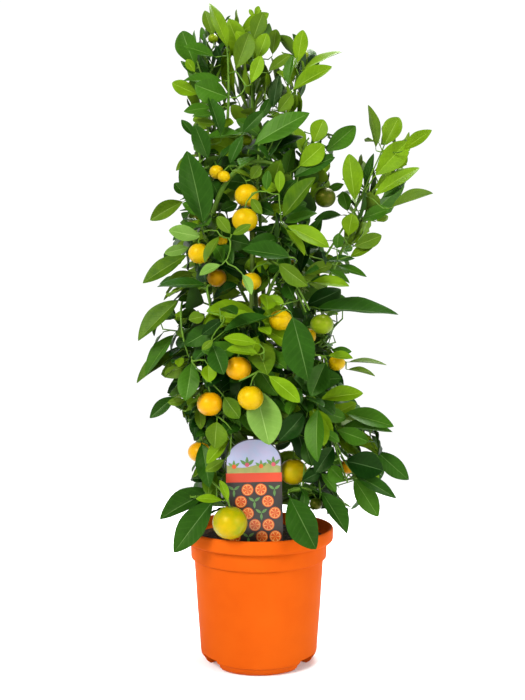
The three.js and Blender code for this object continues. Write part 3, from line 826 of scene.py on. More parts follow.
def side_of(axis: Array, degrees: float) -> Array:
    """A direction square to a shoot, turned round it."""
    return turned_about(unit(np.cross(axis, FRONT if abs(axis[2]) > 0.9 else UP)), axis, degrees)


@dataclass
class Path:
    """A straight, quadratic or cubic curve, by its two, three or four control points."""

    controls: Array
    near: ClassVar[float] = 1e-4
    length_steps: ClassVar[int] = 100

    def points(self, along: Array) -> Array:
        """The points at some shares of the way, one to a row."""
        order = len(self.controls) - 1
        shares = np.asarray(along, float)[..., None]
        return sum(
            math.comb(order, i) * shares**i * (1 - shares) ** (order - i) * control
            for i, control in enumerate(self.controls)
        )

    def point(self, along: float) -> Array:
        """The point at a share of the way."""
        return self.points(np.array(along))

    def tangent(self, along: float) -> Array:
        """The direction at a share of the way."""
        low, high = max(along - self.near, 0), min(along + self.near, 1)
        return unit(self.point(high) - self.point(low))

    def length(self) -> float:
        """Its length."""
        steps = self.points(np.linspace(0, 1, self.length_steps + 1))
        return float(np.linalg.norm(np.diff(steps, axis=0), axis=1).sum())


def path(*controls: Triple | Array) -> Path:
    """A path through its control points."""
    return Path(np.array([np.asarray(control, float) for control in controls]))


class Taken(Enum):
    """What a small cell of the crown's room holds."""

    WOOD = 1
    LEAF = 2
    SOLID = 4
    VIEW = 8


class Room:
    """Small cells that remember what part of the crown's room is taken."""

    cell = 2.0
    low = np.array([-190.0, -175.0, 120.0])
    size = (215, 180, 370)

    def __init__(self) -> None:
        """Starts empty."""
        self.cells = np.zeros(self.size, np.uint8)
        self.balls: dict[float, Array] = {}

    def ball(self, radius: float) -> Array:
        """The steps from a cell to every cell within a radius, in cells."""
        key = round(radius, 1)
        if key not in self.balls:
            reach = int(math.ceil(key / self.cell))
            steps = np.arange(-reach, reach + 1)
            grid = np.stack(np.meshgrid(steps, steps, steps, indexing="ij"), -1).reshape(-1, 3)
            self.balls[key] = grid[np.linalg.norm(grid * self.cell, axis=1) <= key]
        return self.balls[key]

    def index(self, points: Array) -> Array:
        """The cells that points lie in, kept inside the room."""
        found = np.floor((points - self.low) / self.cell).astype(int)
        return np.clip(found, 0, np.array(self.size) - 1)

    def fill(self, points: Array, radius: float, what: Taken) -> None:
        """Takes the cells within a radius of points."""
        found = self.index(points)[:, None, :] + self.ball(radius)[None]
        found = np.clip(found.reshape(-1, 3), 0, np.array(self.size) - 1)
        self.cells[found[:, 0], found[:, 1], found[:, 2]] |= what.value

    def holds(self, points: Array, *what: Taken) -> bool:
        """Whether any of the points lies in a cell that one of these takes."""
        return self.count(points, *what) > 0

    def count(self, points: Array, *what: Taken) -> int:
        """How many of the points lie in cells that one of these takes."""
        found = self.index(points)
        flags = sum(one.value for one in what)
        return int(np.count_nonzero(self.cells[found[:, 0], found[:, 1], found[:, 2]] & flags))


class Chance:
    """A repeatable stream of numbers from 0 to 1, by the mulberry32 rule."""

    def __init__(self, seed: int) -> None:
        """Starts the stream at a seed."""
        self.state = seed & 0xFFFFFFFF

    def __call__(self) -> float:
        """The next number."""
        self.state = (self.state + 0x6D2B79F5) & 0xFFFFFFFF
        mixed = ((self.state ^ (self.state >> 15)) * (self.state | 1)) & 0xFFFFFFFF
        mixed ^= (mixed + (((mixed ^ (mixed >> 7)) * (mixed | 61)) & 0xFFFFFFFF)) & 0xFFFFFFFF
        return (mixed ^ (mixed >> 14)) / 4294967296


# ---------------------------------------------------------------- the plant's own sizes

# The trunk, and the leaders by the share of the trunk's way that each starts at, three more
# control points, and the radii at base and tip.
TRUNK = {"foot": (3, 8, 157.0), "top": (0, 6, 262), "base": 9.5, "tip": 7.0, "flare": 12.5}
LEADERS = {
    "left": (0.66, (-46, -8, 330), (-70, -14, 520), (-58, -4, 652), 5.2, 2.6),
    "centre": (0.97, (4, 16, 380), (-16, 16, 560), (-8, 6, 660), 5.4, 2.6),
    "right": (0.82, (50, 4, 340), (66, 6, 500), (46, -2, 630), 5.2, 2.6),
    "front": (0.56, (-4, -42, 300), (-14, -70, 420), (-5, -54, 548), 4.8, 2.4),
    "back": (0.76, (8, 58, 320), (10, 78, 440), (2, 56, 556), 4.8, 2.4),
}
# A bough's radii, how far it goes from its limb to the middle of its mass, and how far it sags on the way.
BOUGH = {"base": 3.3, "tip": 2.5, "share": 0.34, "sag": 0.16}
# A mass's main stem: how far it goes past the middle, how far it rises there, its bend and its tip's radius.
STEM = {"past": 0.2, "rise": 0.12, "bend": 0.45, "tip": 1.5}


@dataclass
class Mass:
    """A mass of foliage: its space, its limb, its leaves' pitch, its seed and its share of young sprays.

    Where "at" is None, the limb itself ends in the mass.
    """

    name: str
    middle: Triple | Array
    reach: Triple | Array
    limb: str
    at: float | None
    pitch: float
    seed: int
    young: float
    stem: "Shoot | None" = None
    shoots: list["Shoot"] = field(default_factory=list)

    def __post_init__(self) -> None:
        """Turns its middle and its reach into arrays."""
        self.middle, self.reach = np.array(self.middle, float), np.array(self.reach, float)


@dataclass
class Shoot:
    """A woody shoot on a path, tapering from its base to its tip, and made as far as something grows on it.

    Its foot is the share of the way along the shoot that it grows from.
    """

    path: Path
    base: float
    tip: float
    used: float = 1.0
    foot: float = 0.0
    beyond: ClassVar[float] = 0.02

    def carry(self, along: float) -> None:
        """Notes that something grows on it at a share of its way."""
        self.used = max(self.used, min(along + self.beyond, 1))

    def radius_at(self, along: float | Array) -> float | Array:
        """Its radius at a share of its way."""
        return self.base + (self.tip - self.base) * along


MASSES = [
    Mass("tip_left", (-70, -4, 750), (50, 56, 96), "left", None, 48, 44, 0.45),
    Mass("tip_centre", (-12, 2, 762), (52, 56, 88), "centre", None, 54, 9, 0.75),
    Mass("tip_right", (52, -2, 734), (60, 56, 86), "right", None, 44, 7, 0.6),
    Mass("upper_left", (-74, -36, 630), (62, 66, 78), "left", 0.58, 0, 31, 0.2),
    Mass("upper_front", (0, -58, 626), (66, 58, 76), "front", None, -4, 2, 0.25),
    Mass("upper_right", (66, -20, 632), (62, 64, 72), "right", 0.6, 20, 49, 0.35),
    Mass("upper_back", (2, 58, 634), (72, 58, 80), "back", None, 8, 19, 0.4),
    Mass("branch_right", (160, -4, 604), (70, 62, 108), "right", 0.46, 38, 45, 0.75),
    Mass("shoulder_front_left", (-78, -46, 512), (74, 68, 76), "left", 0.38, -18, 33, 0.3),
    Mass("shoulder_front_right", (40, -62, 512), (74, 62, 78), "front", 0.66, -16, 8, 0.3),
    Mass("shoulder_back_left", (-62, 62, 526), (74, 66, 78), "back", 0.62, -4, 7, 0.3),
    Mass("shoulder_back_right", (64, 62, 522), (74, 66, 78), "back", 0.7, -4, 46, 0.3),
    Mass("middle_left", (-92, -14, 402), (72, 76, 80), "left", 0.2, -26, 7, 0.25),
    Mass("middle_front", (-16, -86, 404), (78, 60, 78), "front", 0.42, -32, 50, 0.25),
    Mass("middle_right", (92, -18, 410), (78, 72, 78), "right", 0.3, -12, 45, 0.2),
    Mass("middle_back", (4, 88, 410), (82, 62, 80), "back", 0.4, -20, 44, 0.25),
    Mass("low_front_left", (-62, -56, 306), (68, 68, 74), "left", 0.09, -40, 43, 0.25),
    Mass("low_front_right", (48, -68, 322), (72, 62, 74), "front", 0.24, -40, 8, 0.15),
    Mass("low_right", (120, -6, 304), (72, 74, 74), "right", 0.1, -24, 18, 0.15),
    Mass("low_back_left", (-66, 60, 304), (72, 68, 74), "back", 0.16, -28, 13, 0.2),
    Mass("low_back_right", (54, 80, 306), (76, 66, 74), "back", 0.24, -24, 14, 0.2),
    Mass("skirt_left", (-72, -60, 206), (62, 58, 78), "trunk", 0.34, -46, 45, 0.1),
    Mass("skirt_right", (62, -60, 216), (64, 60, 88), "trunk", 0.44, -46, 10, 0.1),
    Mass("skirt_far_right", (128, 12, 218), (68, 70, 72), "trunk", 0.36, -28, 6, 0.1),
    Mass("skirt_back", (-14, 88, 218), (92, 60, 72), "trunk", 0.42, -30, 20, 0.1),
]
FOLIAGE = [f"foliage_{one.name}" for one in MASSES]
# Openings through the crown, as seen from the front at the trunk: across, up and their radius.
OPENINGS = [
    (117, 213, 14), (108, 226, 9), (92, 548, 12), (92, 525, 8), (-117, 419, 12), (142, 649, 11),
    (66, 698, 12), (62, 676, 9), (-91, 216, 8), (112, 475, 8), (15, 472, 7), (-65, 456, 6),
]

# The rule of growth: what follows round a shoot is turned on by the golden angle. Where a place is taken,
# other turns are tried, and then smaller sizes.
GOLDEN_ANGLE = 137.5
TURNS = 9
SIZES = (1, 0.86, 0.74, 0.62, 0.5)
TRIES = [(size, 360 * i / TURNS) for size in SIZES for i in range(TURNS)]
TWIGS_PER_MASS = 4
TWIG = {"base": 1.25, "tip": 0.9, "length": (0.22, 0.34), "first": 0.25, "last": 0.9, "out": 0.72}
BARE_FOOT = {"stem": 13, "twig": 7}
LEAF_SPACING = 9
LEAF_LENGTH = (92, 74)
LEAF_HEIGHTS = (168.5, 835)
LEAF_WIDTH = 0.47
LEAF_FOLD = 0.3
LEAF_DROOP = 0.13
SPRIG = {"spacing": 12, "length": (16, 40), "base": 0.85, "tip": 0.6, "out": 0.86}
SPRAY = {"leaves": 5, "length": (44, 68), "scale": (1.06, 0.9)}
# How the share of young sprays rises from a mass's middle to its edge, and the shares of the old shades.
YOUNG_BY_REACH = (0.55, 0.6)
OLD_SHADES = ((0.22, Shade.DEEP), (0.68, Shade.DARK), (0.9, Shade.MID), (1, Shade.OLIVE))


@dataclass(frozen=True)
class LeafHabit:
    """How a leaf stands on its shoot: angles in degrees, the rest as weights or shares."""

    wander: float = 50
    onward: float = 0.5
    outward: float = 0.6
    spread: float = 50
    lift: float = 24
    lift_along: float = 30
    roll: float = 80
    too_steep: float = 0.86
    light: Triple = (0, -0.25, 0.5)
    light_outward: float = 0.75
    least: float = 0.78
    growth: float = 0.4


HABIT = LeafHabit()


@dataclass(frozen=True)
class Clearance:
    """What the crown keeps clear of: the pot, the view of its front, and the label with the view of it."""

    rim_top: float = 170
    rim: float = 96.5
    front_top: float = 192
    front_half: float = 105
    front_back: float = 45
    label_x: float = -5
    label_half: float = 43
    label_top: float = 291
    label_back: float = -50
    crown_back: float = 138

    def free(self, points: Array, radius: float) -> bool:
        """Whether balls of a radius at points keep clear."""
        x, y, z = points.T
        over_pot = (z < self.rim_top + radius) & (np.hypot(x, y) < self.rim + radius)
        before_pot = (z < self.front_top) & (np.abs(x) < self.front_half) & (y < self.front_back)
        over_label = (np.abs(x - self.label_x) < self.label_half) & (z < self.label_top)
        before_label = over_label & (y < self.label_back + radius)
        return not (over_pot | before_pot | before_label | (y > self.crown_back)).any()


CLEAR = Clearance()

# The crown's sides as seen from the front at the trunk: height, left and right.
CROWN_SIDES = [
    (150, -104, 95), (175, -112, 110), (201, -106, 132), (227, -88, 160), (252, -86, 172),
    (278, -84, 158), (303, -94, 146), (329, -114, 124), (355, -124, 108), (380, -138, 112),
    (406, -136, 92), (431, -140, 98), (457, -134, 118), (483, -136, 116), (508, -128, 120),
    (534, -110, 116), (559, -100, 108), (585, -108, 100), (611, -94, 90), (636, -90, 96),
    (662, -84, 104), (687, -92, 74), (713, -92, 58), (739, -95, 66), (764, -98, 84), (790, -98, 60),
    (815, -68, 10), (835, -66, 6),
]
BRANCH_SIDES = [
    (520, 60, 128), (545, 80, 150), (570, 96, 176), (585, 98, 196), (611, 100, 192),
    (636, 128, 192), (662, 132, 196), (687, 150, 190), (700, 156, 166),
]

# Fruit: where its middle hangs, its radius and how ripe it is.
FRUITS = [
    (-50, -76, 605, 8.6, Ripeness.AMBER), (-41, -84, 598, 7.5, Ripeness.AMBER),
    (-14, -76, 577, 14.5, Ripeness.AMBER), (-16, -88, 546, 15.3, Ripeness.AMBER),
    (-71, -75, 508, 13, Ripeness.AMBER), (-51.5, -40, 482, 12, Ripeness.ORANGE),
    (-8, -84, 474, 11.5, Ripeness.AMBER), (26, -92, 428, 13.5, Ripeness.AMBER),
    (60, -36, 410, 11, Ripeness.AMBER), (76, -68, 424, 14, Ripeness.GREEN),
    (82, -40, 581, 13, Ripeness.UNRIPE), (-23, -112, 372, 15, Ripeness.ORANGE),
    (-57, -96, 330, 15, Ripeness.ORANGE), (-9, -112, 338, 15, Ripeness.AMBER),
    (96, -44, 377, 10.5, Ripeness.AMBER), (-72, -56, 269, 14, Ripeness.ORANGE),
    (43, -34, 242, 17.5, Ripeness.OLIVE), (-33.5, -92, 190.6, 20.5, Ripeness.YELLOW),
    (-58, -10, 788, 6.5, Ripeness.GREEN), (70, -50, 205, 8, Ripeness.UNRIPE),
    (113, -10, 245, 10, Ripeness.ORANGE), (-16, -36, 653, 8, Ripeness.GREEN),
    (-44, -60, 525, 6.5, Ripeness.AMBER),
]
# Of every second fruit a copy hangs at the back, a little lower.
BACK_FRUITS = {"every": 2, "drop": 14}
STALK_RADIUS = 0.75

# Shoots that show at the front: control points, and the radii at base and tip.
SHOWN_SHOOTS = [
    (((-44, -6, 640), (-36, -30, 690), (-36, -34, 745), (-40, -34, 775)), 2.2, 1.3),
    (((-58, -10, 690), (-66, -20, 720), (-74, -20, 745), (-80, -18, 765)), 1.5, 1.0),
    (((-8, -4, 690), (-10, -14, 730), (-8, -18, 770), (-6, -16, 812)), 1.8, 1.0),
    (((36, -6, 660), (28, -22, 700), (36, -26, 730), (48, -28, 758)), 1.8, 1.1),
    (((44, -30, 560), (46, -50, 600), (50, -46, 640), (62, -38, 655)), 1.7, 1.0),
    (((-55, -54, 560), (-40, -76, 612), (-2, -76, 634), (32, -52, 610)), 3.5, 2.3),
    (((66, -20, 480), (88, -20, 520), (116, -18, 560), (142, -16, 606)), 1.8, 1.2),
    (((120, -18, 566), (134, -14, 600), (150, -12, 630), (160, -12, 655)), 1.2, 0.8),
    (((62, -30, 480), (84, -44, 500), (102, -48, 505), (112, -48, 508)), 1.2, 0.8),
    (((14, -70, 500), (34, -100, 490), (48, -98, 462), (60, -86, 440)), 1.7, 1.2),
    (((-92, -40, 460), (-98, -62, 440), (-92, -66, 405), (-84, -62, 385)), 1.5, 1.0),
    (((20, -88, 392), (10, -118, 372), (-8, -128, 364), (-22, -128, 358)), 1.2, 0.8),
    (((68, -44, 345), (86, -62, 310), (92, -66, 270), (108, -58, 232)), 1.6, 1.1),
    (((11, -76, 497), (24, -84, 492), (44, -84, 468), (56, -80, 438)), 1.8, 1.2),
    (((-6, -46, 566), (-12, -62, 561), (-16, -74, 560.5), (-16, -86, 559.5)), 1.0, 0.75),
    (((36, -60, 455), (34, -76, 450), (28, -90, 446), (26, -92, 440)), 1.1, 0.75),
    (((-66, -50, 236), (-58, -70, 240), (-44, -88, 232), (-33.5, -92, 209)), 1.1, 0.8),
    (((92, -62, 285), (100, -60, 262), (112, -56, 246), (120, -52, 238)), 1.1, 0.8),
]

# The crown's form as seen from the front at the trunk: height, middle, half width and half depth.
CROWN_FORM = [
    (169, 14, 143, 95), (233, 40, 151, 102), (297, 14, 156, 112), (361, 4, 156, 118),
    (425, 7, 156, 118), (489, -4, 145, 112), (553, -4, 134, 103), (617, -1, 122, 92),
    (681, 12, 111, 75), (745, -4, 110, 55), (809, -22, 84, 50),
]
# The long branch's: where it starts across and up, and its middle, half width and half depth.
BRANCH_FROM = (101, 506)
BRANCH_FORM = (165, 64, 45)


def at_trunk(points: Array) -> Array:
    """Where points are seen from the front at the trunk: all distances across, then all heights."""
    near = (points[:, 1] - CAMERA[1]) / -CAMERA[1]
    across = CAMERA[0] + (points[:, 0] - CAMERA[0]) / near
    up = CAMERA[2] + (points[:, 2] - CAMERA[2]) / near
    return np.array([across, up])


@dataclass(frozen=True)
class SeenLeaf:
    """A leaf that makes out the front, by where its root and its tip are seen from the front at the trunk.

    Its width is what shows of it. Its layer is how far forward it hangs, as a share of the crown's depth. Its
    tip leans forward from its root, as leaves do, unless "forward" tells how far.
    """

    x: float
    z: float
    tip_x: float
    tip_z: float
    width: float
    layer: float
    shade: Shade
    forward: float | None = None
    edge: ClassVar[float] = 0.08
    lean: ClassVar[float] = 0.16
    lean_by_fall: ClassVar[Pair] = (0.2, 0.1)
    least_layer: ClassVar[float] = -0.3
    foremost: ClassVar[Pair] = (-130, -136)
    full: ClassVar[float] = 0.44
    turn_share: ClassVar[float] = 0.9

    def depth(self) -> float:
        """How far forward its root hangs."""
        if self.x > BRANCH_FROM[0] and self.z > BRANCH_FROM[1]:
            middle, half, deep = BRANCH_FORM
        else:
            heights, *forms = np.array(CROWN_FORM, float).T
            middle, half, deep = (float(np.interp(self.z, heights, form)) for form in forms)
        return -deep * math.sqrt(max(1 - ((self.x - middle) / half) ** 2, self.edge)) * self.layer

    @staticmethod
    def seen_at(x: float, y: float, z: float) -> Triple:
        """The point at a depth that is seen at a place, from the front at the trunk."""
        near = 1 - y / CAMERA[1]
        return CAMERA[0] + (x - CAMERA[0]) * near, y, CAMERA[2] + (z - CAMERA[2]) * near

    def placed(self) -> tuple[Array, Array, int, int]:
        """Works out the leaf in the round.

        Returns:
            Its root, its tip, its width and how far it is turned edge-on, to whole millimetres and degrees.
        """
        y = self.depth()
        forward = self.forward
        if forward is None:
            seen = math.hypot(self.tip_x - self.x, self.tip_z - self.z)
            fall = (self.z - self.tip_z) / seen
            lean = self.lean + self.lean_by_fall[0 if fall > 0 else 1] * fall
            forward = lean * seen * min(max(self.layer, self.least_layer), 1)
        tip = self.seen_at(self.tip_x, max(y - forward, self.foremost[1]), self.tip_z)
        root = self.seen_at(self.x, max(y, self.foremost[0]), self.z)
        width = self.width * (1 - root[1] / CAMERA[1])
        slim = width / math.dist(root, tip) / self.full
        turn = 0 if slim >= 1 else self.turn_share * math.degrees(math.acos(slim))
        width /= math.cos(math.radians(turn))
        return np.round(root), np.round(tip), round(width), round(turn)


DEEP, DARK, MID, BRIGHT, LIME, YOUNG, OLIVE, PALE = Shade
# The leaves that make out the front: across and up of the root and of the tip, width, layer and shade.
SHOWN_LEAVES = [
    # The three tips.
    (-39, 777, -63, 836, 22, 0.8, LIME), (-58, 792, -69, 827, 15.2, 0.31, BRIGHT),
    (-27, 796.5, 11.5, 824, 18, -0.2, LIME), (-8, 787, 5, 824, 23, 0.4, BRIGHT),
    (-5, 819, 0, 833, 8, 0.3, LIME), (-5, 819, -12, 829, 6, 0.3, LIME),
    (-5, 819, 3, 828, 6, 0.3, LIME), (-31, 750, -13, 798, 27, 0.9, BRIGHT),
    (-3, 763, 10, 798, 21, 0.7, LIME), (-11, 732, 3, 769, 18, 1, YOUNG),
    (17, 769, 22, 803, 18, 0, BRIGHT), (49, 758, 56, 802, 21, 0.6, LIME),
    (55, 751, 106, 774, 13, 0.4, LIME), (40, 723, 93, 755, 16.5, 0.7, LIME),
    (37, 730, 44, 770, 10, 0.8, MID), (10, 748, 40, 771, 12.7, 0.5, BRIGHT),
    # The upper crown.
    (18, 700, 26, 744, 19, 0.6, DEEP), (23, 695, 42, 721, 19, 0.9, BRIGHT),
    (-80, 753, -98, 800, 30, 0.4, MID), (-55, 768, -95, 781, 15, 0.8, MID),
    (-81, 748, -93, 765, 12.5, 0.69, LIME), (-83, 744, -100, 763, 9.1, 0.5, MID),
    (-77, 720, -111, 735, 19, 0.5, YOUNG), (-43, 737, -95, 738, 16.5, 0.6, MID),
    (-36, 716, -81, 733, 33, 1, MID), (-48, 664, -64, 716, 16.5, 0.9, DARK),
    (-59, 703, -95, 698, 12.5, 0.6, MID), (-56, 695, -85, 692, 11.8, 0.7, MID),
    (-53.5, 682.5, -78.5, 684, 11, 0.6, BRIGHT), (-82, 665, -99, 687, 11, 0.4, DARK),
    # The leaf from (-11, 652) has the mid green in place of its own dark green: a painted sheen.
    (-64, 634, -82, 680, 24, 0.8, DARK), (-11, 652, 63, 696, 25.5, 1.1, MID),
    (-23, 669, 6.5, 699, 15.5, 0.9, DARK), (-37.5, 628.5, -21, 666.5, 15, 0.9, DARK),
    (69, 656, 83, 687, 24.5, 0.49, LIME), (83, 645, 123, 679, 26, 0.3, MID),
    (50, 627, 82, 656, 28, 0.9, YOUNG), (40, 612, 96, 639, 20.5, 0.8, DARK),
    (34, 616, 43, 650, 18, 0.6, MID), (28, 560, 72, 613, 25.5, 0.9, OLIVE),
    (26, 592, 27, 622, 14, 1, LIME), (-11.5, 610.5, 1.5, 628.5, 16, 0.9, BRIGHT),
    (9, 596, 12, 622, 13, 1, MID), (-70, 548, -91, 645, 40.5, 1, DARK),
    (-77, 645, -105, 623, 10.2, 0.2, BRIGHT), (-94, 585, -138.5, 560, 20.5, 0.3, BRIGHT),
    # The long branch at the right.
    (150, 648, 140, 706, 15.5, 0.2, BRIGHT), (159, 652, 179, 690, 26, 0, LIME),
    (183, 648, 221, 674, 15.4, 1.04, LIME, 25), (146, 613, 189, 659, 32, 0.6, YOUNG),
    (171, 624, 190, 641, 15, 0.2, LIME), (144, 587, 204, 626, 17.7, 0.7, YOUNG),
    (156, 586, 188, 608, 14, 0.2, DARK), (167, 575, 222, 593, 15, 1.13, BRIGHT, 25),
    (123.5, 580, 116, 643.5, 26, 0.69, YOUNG), (138, 598, 147, 644, 11.5, 0, DARK),
    (114, 569, 107, 596, 18, 0.49, MID), (110, 606, 88, 598, 11, 0.2, MID),
    # The shoulder.
    (-71, 538, -115, 546, 21, 0.8, PALE), (108.5, 566, 71.5, 559.5, 11.5, 0.3, DARK),
    (129, 560, 166, 573, 19, 0.5, MID), (114, 537, 120, 567, 24, 0.9, LIME),
    (119, 525, 157, 539, 20, 0.7, BRIGHT), (114.5, 511, 147.5, 526.5, 15.3, 0.59, LIME),
    (100, 521, 102, 542, 16, 0.6, MID), (84, 506, 122, 510, 7.7, 0.5, DARK),
    (97, 502, 137, 487, 11.5, 0.5, MID), (86.5, 496.5, 115.5, 478, 10.5, 0.6, MID),
    (64, 480, 115, 475, 15.5, 0.8, LIME), (58, 449, 104, 470, 31, 0.4, DEEP),
    (64, 446, 177, 438, 22, 0.6, DARK), (32, 554, 89, 525, 19, 1, LIME),
    (33, 549.5, 58, 514.5, 13, 0.9, LIME), (59, 521, 80, 562, 17.9, 0.5, DARK),
    (53, 489, 63, 533, 15.2, 0.4, DEEP), (45, 511, -20, 521, 23.5, 1.1, DARK),
    (23.5, 505.5, 61.5, 476, 24, 1.1, BRIGHT), (-88, 525, -120, 517, 16, 0.49, PALE, 4),
    (-88, 517, -147, 479, 19, 0.5, OLIVE), (-81.5, 493, -115, 483, 16, 0.3, BRIGHT),
    (-64, 476, -129, 474, 19, 0.8, DARK), (-98, 461, -153, 405, 27, 0.4, OLIVE),
    # The middle.
    (-105, 417, -144, 361, 20.5, 0.3, MID), (-103, 390, -155, 351, 20.4, 0.2, OLIVE),
    (-67.5, 436, -89.5, 431.5, 18, 1, BRIGHT), (-45, 434, -73, 413, 18, 0.9, DEEP),
    (16, 436, -44, 416, 17.9, 0.9, DARK), (0, 401, -44, 408, 16.5, 1.1, LIME),
    (2, 387, -41, 393, 14.2, 1.2, LIME), (41, 441, 63, 355, 46, 1.05, DARK),
    (-60, 402, -44.5, 362, 28, 1.1, DARK), (-85.5, 380, -93, 329, 30, 1, MID),
    (-65, 375, -64, 352, 21, 1.1, LIME), (10, 362, 52, 327, 22.8, 1.2, YOUNG),
    (87, 380, 67, 334, 31, 0.9, DARK), (112, 378, 163, 374, 6.3, 0.2, BRIGHT),
    (112, 368.5, 148.5, 359.5, 7.7, 0.2, BRIGHT), (87, 386, 120, 382, 11.6, 0.6, LIME),
    (91, 393, 118, 391, 12, 0.4, MID),
    # The low crown.
    (-105, 335, -139, 306, 18, 0.5, DARK), (-92, 329, -116, 326, 12, 0.6, BRIGHT),
    (-76.5, 324.5, -74, 292, 15, 0.8, BRIGHT), (-46, 335, -25, 306, 24, 0.9, OLIVE),
    (-6, 349, 13, 273, 46, 0.77, PALE, 8),
    # The skirt over the pot.
    (24, 274, 57, 310, 29, 0.9, DEEP), (-53, 304, -56, 268, 31, 1, BRIGHT),
    (-36, 282, -66, 248, 16.7, 0.95, LIME), (-43, 253, -68, 238, 15, 1, BRIGHT),
    # The leaves from (76, 322), (106, 313), (101, 295), (98, 292) and (120, 232) have the mid green in place
    # of their own dark green: a painted sheen.
    (-74, 278, -63, 218, 25.8, 0.8, DARK), (76, 322, 75, 251, 27, 1, MID),
    (75, 329, 133, 337, 18.2, 0.8, LIME), (106, 313, 172, 295, 20.6, 0.6, MID),
    (101, 295, 170, 288, 14, 0.5, MID), (98, 292, 140, 276, 23, 0.6, MID),
    (108, 252, 158, 239, 37, 0.7, DEEP), (148, 266, 191, 228, 26, 0.5, DARK),
    (118, 236, 175, 203, 21.5, 0.8, DARK), (120, 232, 152, 181, 28, 0.5, MID),
    (88, 245.5, 108.5, 225.5, 23, 0.8, MID), (37, 208, 73, 139, 42, 0.81, DARK, 26),
    (78, 216, 112, 159, 26.9, 0.6, DARK), (-54, 206, -108, 135, 33, 0.88, DARK, 12),
    (-56, 215.5, -125.5, 176.5, 28, 0.6, DARK), (-44, 200, -80, 202, 10.5, 1.1, YOUNG),
    (-39, 198, -50, 226, 11.6, 1.1, YOUNG), (58, 279, 68, 245, 20, 0.6, DARK),
    (98, 272, 73, 236, 26, 0.7, DEEP), (53, 224, 78, 237, 18, 0.7, DEEP),
    # Small leaves over and beside the fruit.
    (-50.3, 540.6, -68.9, 505.7, 15.3, 1, BRIGHT), (-35.5, 540.5, -53, 563, 17, 1.12, BRIGHT),
    (-35, 540, -11, 554, 12.5, 1.14, BRIGHT), (-10, 588, 4, 567, 13, 1.1, BRIGHT),
    (-46.5, 503, -75.5, 489, 11.5, 1, PALE), (-22, 491.5, -10, 464.5, 11.5, 1.05, PALE),
    (-25.5, 581, -48.5, 571, 16, 0.6, DARK), (-93, 590, -108, 606, 14, 0.4, DARK),
    (0, 686, 14, 715, 14.5, 0.3, DARK),
]


# ---------------------------------------------------------------- leaves

# The stalk's share of a leaf's length, and its width as a share of the blade's.
STALK_SHARE = 0.08
STALK_WIDTH = 0.035


def blade_half(along: Array, blunt: float) -> Array:
    """A citrus blade's half width, as a share of its largest, over its slim stalk and up to its tip.

    Args:
        along: Shares of the leaf's length from its root.
        blunt: From 0, an old leaf that tapers to a point, to 1, a young one that is widest past its middle.

    Returns:
        The shares, one to each place.
    """
    blade = np.clip((along - STALK_SHARE) / (1 - STALK_SHARE), 0, 1)
    form = np.sin(math.pi * blade ** (0.92 + 0.26 * blunt)) ** (0.86 - 0.18 * blunt)
    return np.maximum(form, STALK_WIDTH * (along < 0.5))


def blade_rows(count: int) -> Array:
    """Places of the rows of a blade, two on its stalk and the rest closer together towards both ends."""
    even = np.arange(count - 1) / (count - 1)
    eased = 0.5 * even + 0.25 * (1 - np.cos(math.pi * even))
    return np.concatenate([[0.0], STALK_SHARE + (1 - STALK_SHARE) * eased])


# Columns of a blade's corners across its half width, the middle two on the midrib.
BLADE_COLUMNS = np.array([-1.0, -0.55, -0.03, 0.03, 0.55, 1.0])
# Where a blade is sampled for the room it takes: along it, the first two on its foot, and across it.
SAMPLE_ALONG = np.array([0.04, 0.12, 0.22, 0.32, 0.42, 0.52, 0.62, 0.72, 0.82, 0.92, 1.0])
SAMPLE_ACROSS = np.array([-0.96, -0.5, 0.0, 0.5, 0.96])
FOOT_SAMPLES = 2 * len(SAMPLE_ACROSS)


@dataclass
class Leaf:
    """One leaf: where its stalk is held, the way it points, the way its face looks, and its sizes."""

    root: Array
    heading: Array
    normal: Array
    length: float
    width: float
    shade: Shade
    droop: float = LEAF_DROOP
    fold: float = LEAF_FOLD
    shown: bool = False
    slim: ClassVar[float] = 0.34
    slim_to_broad: ClassVar[float] = 0.2
    young_blunt: ClassVar[float] = 0.4

    @property
    def blunt(self) -> float:
        """How blunt the tip is: broad leaves and young ones are blunter than slim and old ones."""
        young = self.young_blunt if self.shade in (Shade.LIME, Shade.YOUNG, Shade.BRIGHT, Shade.PALE) else 0
        return float(np.clip((self.width / self.length - self.slim) / self.slim_to_broad + young, 0, 1))

    def on_blade(self, along: Array, across: Array) -> Array:
        """Points of the blade.

        Args:
            along: Shares of the length from the root.
            across: Shares of the width from the midrib, from -0.5 to 0.5.

        Returns:
            One point to a row.
        """
        side = np.cross(self.heading, self.normal)
        rise = self.fold * np.abs(across) * self.width - self.droop * self.length * along**2
        return (
            self.root
            + np.outer(along * self.length, self.heading)
            + np.outer(across * self.width, side)
            + np.outer(rise, self.normal)
        )

    def samples(self) -> Array:
        """Points all over the blade, those of its stalk first."""
        along, across = np.meshgrid(SAMPLE_ALONG, SAMPLE_ACROSS, indexing="ij")
        half = blade_half(along, self.blunt) / 2
        return self.on_blade(along.ravel(), (across * half).ravel())


